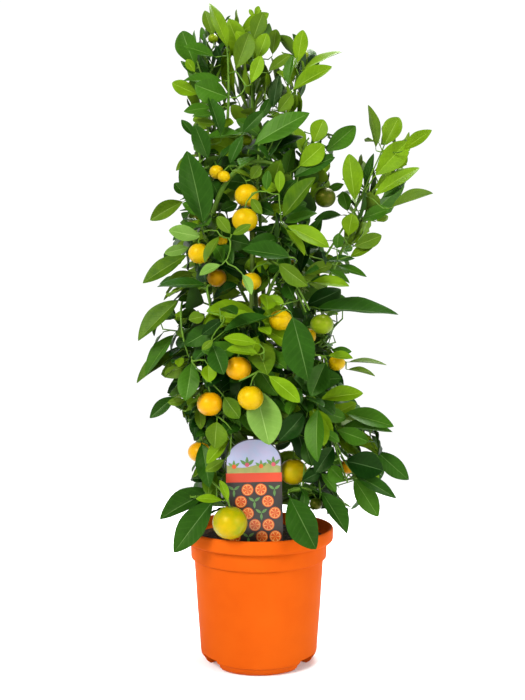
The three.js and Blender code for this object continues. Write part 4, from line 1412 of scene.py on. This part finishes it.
class LeafMesher:
    """Makes one closed thin mesh of many leaves: a face with a raised pale midrib, and a matte back."""

    thick = 0.75
    thinning = 0.6
    sway = {True: 0.012, False: 0.06}
    wave = (0.015, 0.06)
    wave_share = {True: 0.35, False: 1.0}
    ripples = 15
    ripple_shift = 1.7
    twist = 0.5
    swelling = 0.16
    rib = 0.25
    chart_blunt = 0.4

    def __init__(self, rows: int, seed: int) -> None:
        """Lays out the rows and faces that every leaf shares."""
        self.rand = np.random.default_rng(seed)
        self.rows = blade_rows(rows)
        columns = len(BLADE_COLUMNS)
        self.stride = columns + 1
        self.count = rows * self.stride + 1
        tip = self.count - 1
        self.faces: list[list[int]] = []
        self.numbers: list[int] = []

        def at(row: int, column: int) -> int:
            """The number of a corner."""
            return row * self.stride + column

        for row in range(rows):
            for column in range(columns - 1):
                ahead = [at(row + 1, column), at(row + 1, column + 1)] if row < rows - 1 else [tip]
                self.faces.append([at(row, column), *ahead, at(row, column + 1)])
                self.numbers.append(1 if column == columns // 2 - 1 else 0)
            for near, far in ((columns - 1, columns), (columns, 0)):
                ahead = [at(row + 1, near), at(row + 1, far)] if row < rows - 1 else [tip]
                self.faces.append([at(row, near), *ahead, at(row, far)])
                self.numbers.append(2)
        self.faces.append([at(0, column) for column in range(columns + 1)])
        self.numbers.append(2)

    def positions(self, leaf: Leaf) -> Array:
        """The corners of one leaf."""
        along = self.rows
        half = blade_half(along, leaf.blunt)
        side = np.cross(leaf.heading, leaf.normal)
        sway = self.sway[leaf.shown]
        wave = self.rand.uniform(*self.wave) * self.wave_share[leaf.shown]
        phase = self.rand.uniform(0, 6.28)
        twist = self.rand.uniform(-self.twist, self.twist)
        curl = self.rand.uniform(-sway, sway)
        turn = twist * along
        across = np.cos(turn)[:, None] * side + np.sin(turn)[:, None] * leaf.normal
        upward = np.cos(turn)[:, None] * leaf.normal - np.sin(turn)[:, None] * side
        spine = (
            leaf.root
            + np.outer(along * leaf.length, leaf.heading)
            - np.outer(leaf.droop * leaf.length * along**2, leaf.normal)
            + np.outer(curl * leaf.length * np.sin(along * math.pi), side)
        )
        share = BLADE_COLUMNS[None, :] * half[:, None]
        turns = along[:, None] * self.ripples + phase + (BLADE_COLUMNS > 0) * self.ripple_shift
        ripple = wave * leaf.width * np.sin(turns)
        bulge = self.swelling * leaf.width * (np.abs(share) - share**2) * (np.abs(BLADE_COLUMNS) < 0.9)
        rise = leaf.fold * np.abs(share) * leaf.width / 2 + ripple * np.abs(share) + bulge
        rise += (np.abs(BLADE_COLUMNS) < 0.1) * self.rib
        top = (
            spine[:, None, :]
            + across[:, None, :] * (share * leaf.width / 2)[..., None]
            + upward[:, None, :] * rise[..., None]
        )
        back = spine - upward * (self.thick * (1 - self.thinning * along))[:, None]
        rows = np.concatenate([top, back[:, None, :]], axis=1).reshape(-1, 3)
        tip = leaf.root + leaf.heading * leaf.length - leaf.normal * leaf.droop * leaf.length
        return np.vstack([rows, tip])

    def chart(self) -> Array:
        """The place of every corner on the blade, across and along, from 0 to 1."""
        across = np.append(BLADE_COLUMNS, 0.0)
        half = blade_half(self.rows, self.chart_blunt)
        u = (0.5 + across[None, :] * half[:, None] / 2).ravel()
        v = np.repeat(self.rows, self.stride)
        return np.vstack([np.column_stack([u, v]), [0.5, 1.0]])

    def build(self, leaves: list[Leaf], name: str) -> Mesh:
        """Joins leaves into one mesh.

        Args:
            leaves: The leaves.
            name: The mesh's name.

        Returns:
            The mesh, in metres.
        """
        verts = np.vstack([self.positions(leaf) for leaf in leaves]) * MM
        faces = [[i + self.count * n for i in face] for n in range(len(leaves)) for face in self.faces]
        mesh = bpy.data.meshes.new(name)
        mesh.from_pydata(verts.tolist(), [], faces)
        mesh.polygons.foreach_set("material_index", np.tile(self.numbers, len(leaves)))
        corners = np.empty(len(mesh.loops), int)
        mesh.loops.foreach_get("vertex_index", corners)
        layer = mesh.uv_layers.new(name="Blade")
        layer.data.foreach_set("uv", self.chart()[corners % self.count].astype(np.float32).ravel())
        mesh.update()
        return mesh


def build_leaves(leaves: list[Leaf]) -> None:
    """Makes the leaves of each shade as one piece, those that make out the front with finer outlines."""
    fine, plain = LeafMesher(rows=17, seed=7), LeafMesher(rows=11, seed=8)
    for shade in Shade:
        own = [leaf for leaf in leaves if leaf.shade is shade]
        shown, grown = [leaf for leaf in own if leaf.shown], [leaf for leaf in own if not leaf.shown]
        name = f"leaves_{shade.name.lower()}"
        parts = [mesher.build(some, name) for mesher, some in ((fine, shown), (plain, grown)) if some]
        if parts:
            finishes = [shade.value, rib_finish(shade.value), back_finish(shade.value)]
            finish_piece(joined(name, parts), finishes, FOLIAGE, 75)


# ---------------------------------------------------------------- the crown


class Crown:
    """Grows the limbs, twigs, leaves and fruit from the named sizes, each kept off what grew before it.

    What it takes up reaches a little past a thing. What makes out the front takes up the view of it too, at
    steps ahead of it towards the viewer.
    """

    wood_step = 4
    leaf_room, leaf_view, leaf_ahead = 3.2, 2.4, range(6, 96, 4)
    fruit_room, fruit_view, fruit_ahead = 2, 0.9, range(10, 96, 5)
    leaf_spare, twig_spare, sprig_spare = 4, 4, 3

    def __init__(self) -> None:
        """Lays out the limbs and takes up their room."""
        self.room = Room()
        self.leaves: list[Leaf] = []
        self.twigs: list[Shoot] = []
        self.boughs: list[Shoot] = []
        self.fruits: list[tuple[Array, float, Ripeness]] = []
        trunk = path(TRUNK["foot"], TRUNK["top"])
        self.limbs = {"trunk": Shoot(trunk, TRUNK["base"], TRUNK["tip"])}
        for name, (at, first, second, end, base, tip) in LEADERS.items():
            self.limbs[name] = Shoot(path(trunk.point(at), first, second, end), base, tip)
        for limb in self.limbs.values():
            self.take(limb)
        for one in MASSES:
            self.carry(one)

    def take(self, shoot: Shoot, spare: float = 1.5) -> None:
        """Takes up a shoot's room."""
        steps = max(4, int(shoot.path.length() / self.wood_step))
        for along in np.linspace(0, 1, steps + 1):
            points = shoot.path.points(np.array([along]))
            self.room.fill(points, shoot.radius_at(along) + spare, Taken.WOOD)

    def carry(self, one: Mass) -> None:
        """Gives a mass its bough and its main stem."""
        carrier = self.limbs[one.limb]
        if one.at is not None:
            start = carrier.path.point(one.at)
            root = start + (one.middle - start) * BOUGH["share"]
            bend = (start + root) / 2 - UP * BOUGH["sag"] * np.linalg.norm(root - start)
            carrier = Shoot(path(start, bend, root), BOUGH["base"], BOUGH["tip"])
            self.boughs.append(carrier)
            self.take(carrier)
        forward = carrier.path.tangent(1)
        start = carrier.path.point(1)
        end = one.middle + (one.middle - start) * STEM["past"] + UP * one.reach[2] * STEM["rise"]
        bend = start + forward * np.linalg.norm(end - start) * STEM["bend"]
        one.stem = Shoot(path(start, bend, end), carrier.tip, STEM["tip"], 0)
        self.twigs.append(one.stem)
        self.take(one.stem)

    @staticmethod
    def in_space(one: Mass, points: Array, share: float = 1) -> bool:
        """Whether points are inside a mass's own space."""
        return bool((np.linalg.norm((points - one.middle) / one.reach, axis=1) <= share).all())

    @staticmethod
    def in_outline(points: Array) -> bool:
        """Whether points are inside the crown's sides and out of its openings, as seen from the front."""
        x, z = at_trunk(points)
        inside = np.zeros(len(points), bool)
        for sides in (CROWN_SIDES, BRANCH_SIDES):
            heights, left, right = np.array(sides, float).T
            within = (z > heights[0]) & (z < heights[-1])
            inside |= within & (x > np.interp(z, heights, left)) & (x < np.interp(z, heights, right))
        for across, up, radius in OPENINGS:
            inside &= np.hypot(x - across, z - up) > radius
        return bool(inside.all())

    def add_leaf(self, leaf: Leaf) -> None:
        """Adds a leaf and takes up its room, and the view of it where it makes out the front."""
        self.leaves.append(leaf)
        samples = leaf.samples()
        blade, row = samples[FOOT_SAMPLES:], len(SAMPLE_ACROSS)
        middles = (blade + samples[row:-row]) / 2
        self.room.fill(np.vstack([blade, middles]), self.leaf_room, Taken.LEAF)
        if leaf.shown:
            toward = unit(CAMERA - samples[len(samples) // 2])
            for ahead in self.leaf_ahead:
                self.room.fill(blade + toward * ahead, self.leaf_view, Taken.VIEW)

    def fits(self, one: Mass, leaf: Leaf) -> bool:
        """Whether a leaf stays in its mass's space and off everything that is there already."""
        samples = leaf.samples()
        edge = samples[FOOT_SAMPLES:]
        return (
            self.in_space(one, edge)
            and CLEAR.free(samples, self.leaf_spare)
            and self.in_outline(edge)
            and not self.room.holds(samples[:FOOT_SAMPLES], Taken.SOLID)
            and not self.room.holds(edge, *Taken)
        )

    @staticmethod
    def shade_of(one: Mass, point: Array, rand: Chance) -> Shade:
        """The shade of a spray, by its mass's share of young growth and by how far out in the crown it is."""
        out = np.linalg.norm((point - one.middle) / one.reach)
        inner, rise = YOUNG_BY_REACH
        if rand() < one.young * (inner + rise * out):
            return (Shade.BRIGHT, Shade.LIME, Shade.YOUNG)[int(rand() * 3)]
        pick = rand()
        return next(shade for limit, shade in OLD_SHADES if pick < limit)

    def grow_leaf(
        self, one: Mass, shoot: Shoot, along: float, count: int, rand: Chance, size: float, shade: Shade
    ) -> bool:
        """Tries a leaf at a point of a shoot until it fits.

        Args:
            one: The mass.
            shoot: The shoot that carries it.
            along: The share of the way along the shoot.
            count: How many leaves came before it on the shoot.
            rand: The stream of chance.
            size: A full leaf's length.
            shade: Its shade.

        Returns:
            Whether it grew.
        """
        wander, spread, share_drawn, roll = rand() - 0.5, rand() - 0.5, rand(), rand() - 0.5
        root = shoot.path.point(along)
        axis = shoot.path.tangent(along)
        out = unit(np.array([root[0], root[1], 0.0]))
        for share, turn in TRIES:
            side = side_of(axis, count * GOLDEN_ANGLE + wander * HABIT.wander + turn)
            lean = side + axis * HABIT.onward + out * HABIT.outward
            pitch = one.pitch + HABIT.spread * spread + HABIT.lift * side[2]
            pitch = math.radians(pitch + HABIT.lift_along * (along - 0.5))
            level = unit(np.array([lean[0], lean[1], 0.0]))
            heading = level * math.cos(pitch) + UP * math.sin(pitch)
            if abs(float(heading @ axis)) >= HABIT.too_steep:
                continue
            light = np.array(HABIT.light) + out * HABIT.light_outward
            normal = turned_about(unit(light - heading * float(light @ heading)), heading, roll * HABIT.roll)
            length = size * (HABIT.least + HABIT.growth * share_drawn) * share
            leaf = Leaf(root, heading, normal, length, length * LEAF_WIDTH, shade)
            if self.fits(one, leaf):
                self.add_leaf(leaf)
                shoot.carry(along)
                return True
        return False

    def grow_twig(self, one: Mass, index: int, rand: Chance) -> Shoot | None:
        """A twig off the main stem, turned and shortened until its end stays near the middle of the mass."""
        wander, size = rand() - 0.5, rand()
        along = TWIG["first"] + (TWIG["last"] - TWIG["first"]) * index / (TWIGS_PER_MASS - 1)
        start = one.stem.path.point(along)
        axis = one.stem.path.tangent(along)
        short, long = TWIG["length"]
        full = (short + (long - short) * size) * np.linalg.norm(one.reach)
        for share, turn in TRIES:
            side = side_of(axis, index * GOLDEN_ANGLE + wander * 60 + turn)
            heading = unit(side + axis * 0.45 + UP * 0.2)
            line = path(start, start + heading * full * share)
            points = line.points(np.linspace(0.3, 1, 5))
            if self.in_space(one, points[-1:], TWIG["out"]) and CLEAR.free(points, self.twig_spare):
                if not self.room.holds(points, Taken.SOLID, Taken.WOOD):
                    return Shoot(line, TWIG["base"], TWIG["tip"], 0, along)
        return None

    def grow_leaves(self, one: Mass, shoot: Shoot, rand: Chance, hues: Chance) -> None:
        """Leaves all along a shoot, at even spaces."""
        length = shoot.path.length()
        foot = BARE_FOOT["stem" if shoot is one.stem else "twig"]
        count = int((length - foot) // LEAF_SPACING)
        size = np.interp(one.middle[2], LEAF_HEIGHTS, LEAF_LENGTH)
        shade = self.shade_of(one, shoot.path.point(0.9), hues)
        for i in range(count + 1):
            along = 0.97 if i == count else (foot + i * LEAF_SPACING) / length
            if shoot is one.stem and i % 3 == 0:
                shade = self.shade_of(one, shoot.path.point(along), hues)
            self.grow_leaf(one, shoot, along, i, rand, size, shade)

    def grow_sprigs(self, one: Mass, shoot: Shoot, rand: Chance) -> None:
        """Finer twigs along a shoot, each with a spray of smaller leaves at its end."""
        length = shoot.path.length()
        scale = float(np.interp(one.middle[2], LEAF_HEIGHTS, SPRAY["scale"]))
        short, long = SPRIG["length"]
        low, high = SPRAY["length"]
        for i in range(int(length // SPRIG["spacing"]) + 1):
            along = min((i + 0.6) * SPRIG["spacing"] / length, 0.98)
            start, axis = shoot.path.point(along), shoot.path.tangent(along)
            full, wander = short + (long - short) * rand(), rand() - 0.5
            size = (low + (high - low) * rand()) * scale
            shade = self.shade_of(one, start, rand)
            for share, turn in TRIES[::2]:
                side = side_of(axis, i * GOLDEN_ANGLE + wander * 60 + turn)
                heading = unit(side + axis * 0.6 + UP * 0.25)
                line = path(start, start + heading * full * share)
                points = line.points(np.linspace(0.4, 1, 4))
                if not self.in_space(one, points[-1:], SPRIG["out"]) or self.room.holds(points, *Taken):
                    continue
                if not CLEAR.free(points, self.sprig_spare):
                    continue
                sprig = Shoot(line, SPRIG["base"], SPRIG["tip"], 0)
                if self.grow_spray(one, sprig, rand, size, shade):
                    self.twigs.append(sprig)
                    self.take(sprig, 0.5)
                    shoot.carry(along)
                    break

    def grow_spray(self, one: Mass, sprig: Shoot, rand: Chance, size: float, shade: Shade) -> bool:
        """Grows a spray of leaves on a sprig, and tells whether any leaf grew."""
        places = [0.35 + 0.63 * number / (SPRAY["leaves"] - 1) for number in range(SPRAY["leaves"])]
        grown = [self.grow_leaf(one, sprig, at, i, rand, size, shade) for i, at in enumerate(places)]
        return any(grown)

    def wood_points(self) -> tuple[Array, Array, list[tuple[Shoot, float]]]:
        """Points all along the wood that can hold a stalk, its direction at each, and what each is on."""
        places, ways, holders = [], [], []
        for shoot in [*self.limbs.values(), *self.boughs, *self.twigs]:
            alongs = np.linspace(0.12, 1, max(3, int(shoot.path.length() / 5)))
            points = shoot.path.points(alongs)
            places.append(points)
            ways.append(np.gradient(points, axis=0))
            holders += [(shoot, float(along)) for along in alongs]
        return np.vstack(places), np.vstack(ways), holders

    def lead(self, place: Array, arriving: Array, base: float, tip: float, above: float = 0) -> None:
        """Leads a fine twig to a place from near wood that isn't before it, clear of the fruit.

        Args:
            place: Where it ends.
            arriving: Its direction there.
            base: Its radius at the wood.
            tip: Its radius at its end.
            above: How much each millimetre of wood below the place counts as further away.
        """
        points, ways, holders = self.wood_points()
        apart = points - place
        cost = np.linalg.norm(apart, axis=1) + 0.35 * np.maximum(apart @ arriving, 0)
        cost += 1.5 * np.maximum(apart[:, 1] * np.sign(place[1]) + 1, 0)
        cost += above * np.maximum(6 - apart[:, 2], 0)
        best = None
        for index in np.argsort(cost)[:30]:
            start = points[index]
            reach = float(np.linalg.norm(place - start))
            first = start + unit(ways[index]) * min(reach * 0.2, 8)
            line = path(start, first, place - arriving * min(reach * 0.4, 12), place)
            inner = line.points(np.linspace(0.1, 0.85, 12))
            hits = 40 * self.room.count(inner, Taken.SOLID) + 1.5 * self.room.count(inner, Taken.VIEW)
            if best is None or cost[index] + hits < best[0]:
                best = (cost[index] + hits, index, line, reach)
        _, index, line, reach = best
        if reach > 1.5:
            shoot, along = holders[index]
            shoot.carry(along)
            self.twigs.append(Shoot(line, base, tip))
            self.take(self.twigs[-1], 0.3)

    def show_leaves(self) -> None:
        """Places the shoots and the leaves that make out the front of the tree."""
        for controls, base, tip in SHOWN_SHOOTS:
            shoot = Shoot(path(*controls), base, tip)
            self.lead(shoot.path.point(0), shoot.path.tangent(0), base * 1.15, base)
            self.twigs.append(shoot)
            self.take(shoot, 0.8)
        rand = Chance(3)
        for row in SHOWN_LEAVES:
            seen = SeenLeaf(*row)
            root, tip, width, turn = seen.placed()
            heading = unit(tip - root)
            toward = CAMERA - root
            facing = unit(toward - heading * float(toward @ heading))
            across = np.cross(heading, facing)
            across = -across if across[2] < 0 else across
            normal = facing * math.cos(math.radians(turn)) + across * math.sin(math.radians(turn))
            length = float(np.linalg.norm(tip - root))
            droop, fold = 0.04 + 0.08 * rand(), 0.2 + 0.6 * rand()
            aim = unit(heading + normal * droop)
            facing = unit(normal - aim * float(normal @ aim))
            self.lead(root, heading, 1.0, 0.7)
            leaf = Leaf(root, aim, facing, length * 1.02, width * 0.95, seen.shade, droop, fold, shown=True)
            self.add_leaf(leaf)

    def hang_fruits(self) -> None:
        """Places the fruit, those at the back the same as at the front but turned round the trunk."""
        back = []
        for x, y, z, radius, ripeness in FRUITS[:: BACK_FRUITS["every"]]:
            place = np.array([-x, -y, z - BACK_FRUITS["drop"]], float)
            if any(self.in_space(one, place[None], 0.85) for one in MASSES):
                back.append((*place, radius, ripeness))
        for x, y, z, radius, ripeness in [*FRUITS, *back]:
            middle = np.array([x, y, z], float)
            self.fruits.append((middle, radius, ripeness))
            self.room.fill(middle[None], radius + self.fruit_room, Taken.SOLID)
            toward = unit(CAMERA - middle)
            if y < 0:
                for ahead in self.fruit_ahead:
                    self.room.fill((middle + toward * ahead)[None], radius * self.fruit_view, Taken.VIEW)

    def hang_stalks(self) -> None:
        """Leads a stalk down to the top of each fruit from the wood above it."""
        for middle, radius, _ in self.fruits:
            self.lead(middle + UP * radius * 0.9, -UP, STALK_RADIUS * 1.3, STALK_RADIUS, above=3)

    def grow(self) -> None:
        """Grows everything in its order: the front, then by the rule of growth, then the sprigs."""
        self.hang_fruits()
        self.show_leaves()
        self.hang_stalks()
        LOG.info("shown leaves: %d", len(self.leaves))
        for one in MASSES:
            rand, hues = Chance(one.seed), Chance(one.seed + 500)
            twigs = [self.grow_twig(one, i, rand) for i in range(TWIGS_PER_MASS)]
            one.shoots = [*[twig for twig in twigs if twig], one.stem]
            for twig in one.shoots[:-1]:
                self.take(twig, 1)
            for shoot in one.shoots:
                self.grow_leaves(one, shoot, rand, hues)
        LOG.info("with the rule's leaves: %d", len(self.leaves))
        for one in MASSES:
            rand = Chance(one.seed + 900)
            for shoot in one.shoots:
                self.grow_sprigs(one, shoot, rand)
            for twig in one.shoots[:-1]:
                if twig.used:
                    self.twigs.append(twig)
                    one.stem.carry(twig.foot)
        self.twigs = [twig for twig in self.twigs if twig.used]
        LOG.info("with the sprigs: %d", len(self.leaves))


# ---------------------------------------------------------------- wood and fruit meshes


@dataclass
class WoodMaker:
    """Makes the meshes of limbs and twigs."""

    relief: float = 0.45
    furrow: float = 4.0
    furrow_length: float = 24.0
    knot: float = 14.0
    knot_relief: float = 1.2
    flare_height: float = 24.0
    flare_curve: float = 1.6
    buttresses: int = 4
    buttress: float = 0.25
    buttress_turn: float = 0.6

    def tube(self, shoots: list[Shoot], steps: float, sides: int, name: str) -> Mesh:
        """Round limbs on their paths, joined.

        Args:
            shoots: The limbs.
            steps: The length of one ring to the next.
            sides: A quarter of the sides of a limb, less one.
            name: The mesh's name.

        Returns:
            The mesh, in metres.
        """
        curve = bpy.data.curves.new(name, "CURVE")
        curve.dimensions = "3D"
        curve.bevel_depth = MM
        curve.bevel_resolution = sides
        curve.use_fill_caps = True
        for shoot in shoots:
            count = max(2, int(shoot.path.length() * shoot.used / steps) + 1)
            shares = np.linspace(0, shoot.used, count)
            spline = curve.splines.new("POLY")
            spline.points.add(count - 1)
            points = np.column_stack([shoot.path.points(shares) * MM, np.ones(count)])
            spline.points.foreach_set("co", points.ravel())
            spline.points.foreach_set("radius", shoot.radius_at(shares))
        mesh = applied(linked(name, curve))
        mesh.name = name
        return mesh

    def roughen(self, mesh: Mesh, share: float) -> None:
        """Raises ridges and knots on a limb's bark, as strong as its share says."""
        moved = []
        for vert in mesh.vertices:
            place = vert.co / MM
            along_it = Vector((place.x / self.furrow, place.y / self.furrow, place.z / self.furrow_length))
            ridge, knot = noise.noise(along_it), noise.noise(place / self.knot)
            rise = ridge * self.relief + knot * self.relief * self.knot_relief
            moved.append(vert.co + vert.normal * rise * share * MM)
        for vert, place in zip(mesh.vertices, moved):
            vert.co = place

    def flare(self, mesh: Mesh) -> None:
        """Widens the trunk's foot into its root flare, in shallow buttresses."""
        foot = Vector(TRUNK["foot"]) * MM
        grown = TRUNK["flare"] / TRUNK["base"] - 1
        for vert in mesh.vertices:
            up = (vert.co.z - foot.z) / (self.flare_height * MM)
            if up < 1:
                angle = math.atan2(vert.co.y - foot.y, vert.co.x - foot.x)
                round_it = 1 + self.buttress * math.cos(self.buttresses * angle + self.buttress_turn)
                swell = 1 + grown * (1 - max(up, 0)) ** self.flare_curve * round_it
                vert.co.x = foot.x + (vert.co.x - foot.x) * swell
                vert.co.y = foot.y + (vert.co.y - foot.y) * swell

    def build(self, crown: Crown) -> None:
        """Makes the trunk, the leaders, the boughs and the twigs."""
        for name, limb in crown.limbs.items():
            own = "trunk" if name == "trunk" else f"leader_{name}"
            mesh = self.tube([limb], 3, 4, f"bark_{own}")
            if name == "trunk":
                self.flare(mesh)
            self.roughen(mesh, 1.0 if name == "trunk" else 0.6)
            finish_piece(mesh, [BARK if name == "trunk" else GREEN_BARK], [own], 80)
        nodes = [f"bough_{one.name}" for one in MASSES if one.at is not None]
        mesh = self.tube(crown.boughs, 4, 3, "bark_boughs")
        self.roughen(mesh, 0.4)
        finish_piece(mesh, [GREEN_BARK], nodes, 80)
        finish_piece(self.tube(crown.twigs, 7, 1, "twigs"), [TWIG_SKIN], FOLIAGE, 80)


@dataclass
class FruitMaker:
    """Makes the fruit: nearly round, dimpled at the stalk, each under a small green calyx."""

    segments: int = 28
    rings: int = 18
    squash: float = 0.94
    dimple: float = 0.075
    navel: float = 0.04
    dimple_width: float = 0.2
    star: Triple = (0.26, 0.09, 0.09)
    star_points: int = 5
    star_inner: float = 0.55
    star_up: float = 0.9
    squat: Pair = (0.93, 1.0)

    def ball(self) -> Mesh:
        """A ball of radius 1, squashed a little and dimpled at the stalk and, less, at the navel."""
        shape = bmesh.new()
        bmesh.ops.create_uvsphere(shape, u_segments=self.segments, v_segments=self.rings, radius=1)
        for vert in shape.verts:
            out = math.hypot(vert.co.x, vert.co.y)
            vert.co.z *= self.squash
            sunk = self.dimple if vert.co.z > 0 else self.navel
            vert.co.z -= math.copysign(sunk, vert.co.z) * math.exp(-((out / self.dimple_width) ** 2))
        return mesh_from(shape, "ball")

    def calyx(self) -> Mesh:
        """A five-pointed star that sits in the dimple."""
        shape = bmesh.new()
        low, high, depth = self.star
        sides = 2 * self.star_points
        bmesh.ops.create_cone(shape, cap_ends=True, segments=sides, radius1=low, radius2=high, depth=depth)
        for vert in shape.verts:
            if round(math.atan2(vert.co.y, vert.co.x) / (math.pi / self.star_points)) % 2:
                vert.co.x *= self.star_inner
                vert.co.y *= self.star_inner
            vert.co.z += self.star_up
        return mesh_from(shape, "calyx")

    def build(self, crown: Crown) -> None:
        """Makes each ripeness as one joined piece, and the calyxes as another."""
        ball, calyx = self.ball(), self.calyx()
        rand = np.random.default_rng(4)
        for ripeness in Ripeness:
            shape = bmesh.new()
            for middle, radius, ripe in crown.fruits:
                if ripe is ripeness:
                    self.stamp(shape, ball, middle, radius, rand.uniform(*self.squat))
            mesh = mesh_from(shape, f"fruit_{ripeness.name.lower()}")
            finish_piece(mesh, [ripeness.value], FOLIAGE, 60)
        shape = bmesh.new()
        for middle, radius, _ in crown.fruits:
            self.stamp(shape, calyx, middle, radius, 1)
        finish_piece(mesh_from(shape, "calyxes"), [GREEN_BARK], FOLIAGE, 50)
        bpy.data.meshes.remove(ball)
        bpy.data.meshes.remove(calyx)

    @staticmethod
    def stamp(
        shape: Shape, form: Mesh, middle: Array, radius: float, squat: float
    ) -> None:
        """Copies a form of radius 1 to a fruit's place and size.

        Args:
            shape: The bmesh that takes it.
            form: The form.
            middle: The fruit's middle.
            radius: Its radius.
            squat: Its height as a share of its width.
        """
        before = len(shape.verts)
        shape.from_mesh(form)
        shape.verts.ensure_lookup_table()
        size = Matrix.Diagonal((radius * MM, radius * MM, radius * squat * MM, 1))
        place = Matrix.Translation(Vector(middle) * MM) @ size
        bmesh.ops.transform(shape, matrix=place, verts=shape.verts[before:])


# ---------------------------------------------------------------- studio


@dataclass
class Studio:
    """A pale floor, white walls of light under a dimmer ceiling, soft lamps and the camera, in metres."""

    lens: float = 43.7
    sensor: float = 36
    floor: float = 1.3
    aim: Triple = (0, 0, 0.42)
    lamp_size: float = 1.0
    wall: float = 1.05
    ceiling: float = 0.35
    ceiling_from: Pair = (0.37, 0.64)

    def lamp(self, name: str, place: Triple, watts: float) -> None:
        """Hangs a square soft light that looks at the middle of the tree."""
        light = bpy.data.lights.new(name, "AREA")
        light.shape, light.size, light.energy = "SQUARE", self.lamp_size, watts
        lamp = linked(name, light)
        lamp.location = place
        lamp.rotation_euler = (Vector(self.aim) - Vector(place)).to_track_quat("-Z", "Y").to_euler()

    def lay_floor(self) -> None:
        """Lays the floor, which is no part of the tree."""
        shape = bmesh.new()
        bmesh.ops.create_grid(shape, x_segments=2, y_segments=2, size=self.floor)
        mesh = mesh_from(shape, "studio_floor", outward=False)
        mesh.materials.append(SHELF.get(STUDIO_FLOOR))
        linked("studio_floor", mesh)

    def light_round(self) -> None:
        """Gives white light from all sides, less of it from above."""
        world = bpy.data.worlds.new("white_sweep")
        world.use_nodes = True
        sweep = world.node_tree
        background = sweep.nodes["Background"]
        background.inputs["Color"].default_value = (1, 1, 1, 1)
        way = add_node(sweep, "ShaderNodeTexCoord", {})
        axes = add_node(sweep, "ShaderNodeSeparateXYZ", {}, {"Vector": way.outputs["Generated"]})
        low, high = self.ceiling_from
        fading = {"From Min": low, "From Max": high, "To Min": self.wall, "To Max": self.ceiling}
        settings = {"interpolation_type": "SMOOTHSTEP", **fading}
        ceiling = add_node(sweep, "ShaderNodeMapRange", settings, {"Value": axes.outputs["Z"]})
        sweep.links.new(ceiling.outputs["Result"], background.inputs["Strength"])
        bpy.context.scene.world = world

    def build(self) -> None:
        """Sets up the floor, the light and the camera."""
        self.lay_floor()
        self.light_round()
        self.lamp("key", (-1.1, -1.7, 1.7), 78)
        self.lamp("fill", (1.5, -1.3, 0.9), 26)
        self.lamp("top", (0.3, 0.7, 2.1), 80)
        data = bpy.data.cameras.new("camera")
        data.lens, data.sensor_width = self.lens, self.sensor
        camera = linked("camera", data)
        camera.location = Vector(CAMERA) * MM
        camera.rotation_euler = (math.pi / 2, 0, 0)
        bpy.context.scene.camera = camera
        bpy.context.scene.view_settings.view_transform = "Standard"


def main() -> None:
    """Builds the tree."""
    logging.basicConfig(level=logging.INFO, format="%(message)s")
    for maker in (Studio(), Pot(), Soil(), Label()):
        maker.build()
    crown = Crown()
    crown.grow()
    WoodMaker().build(crown)
    build_leaves(crown.leaves)
    FruitMaker().build(crown)
    bpy.context.view_layer.update()


if __name__ == "__main__":
    main()
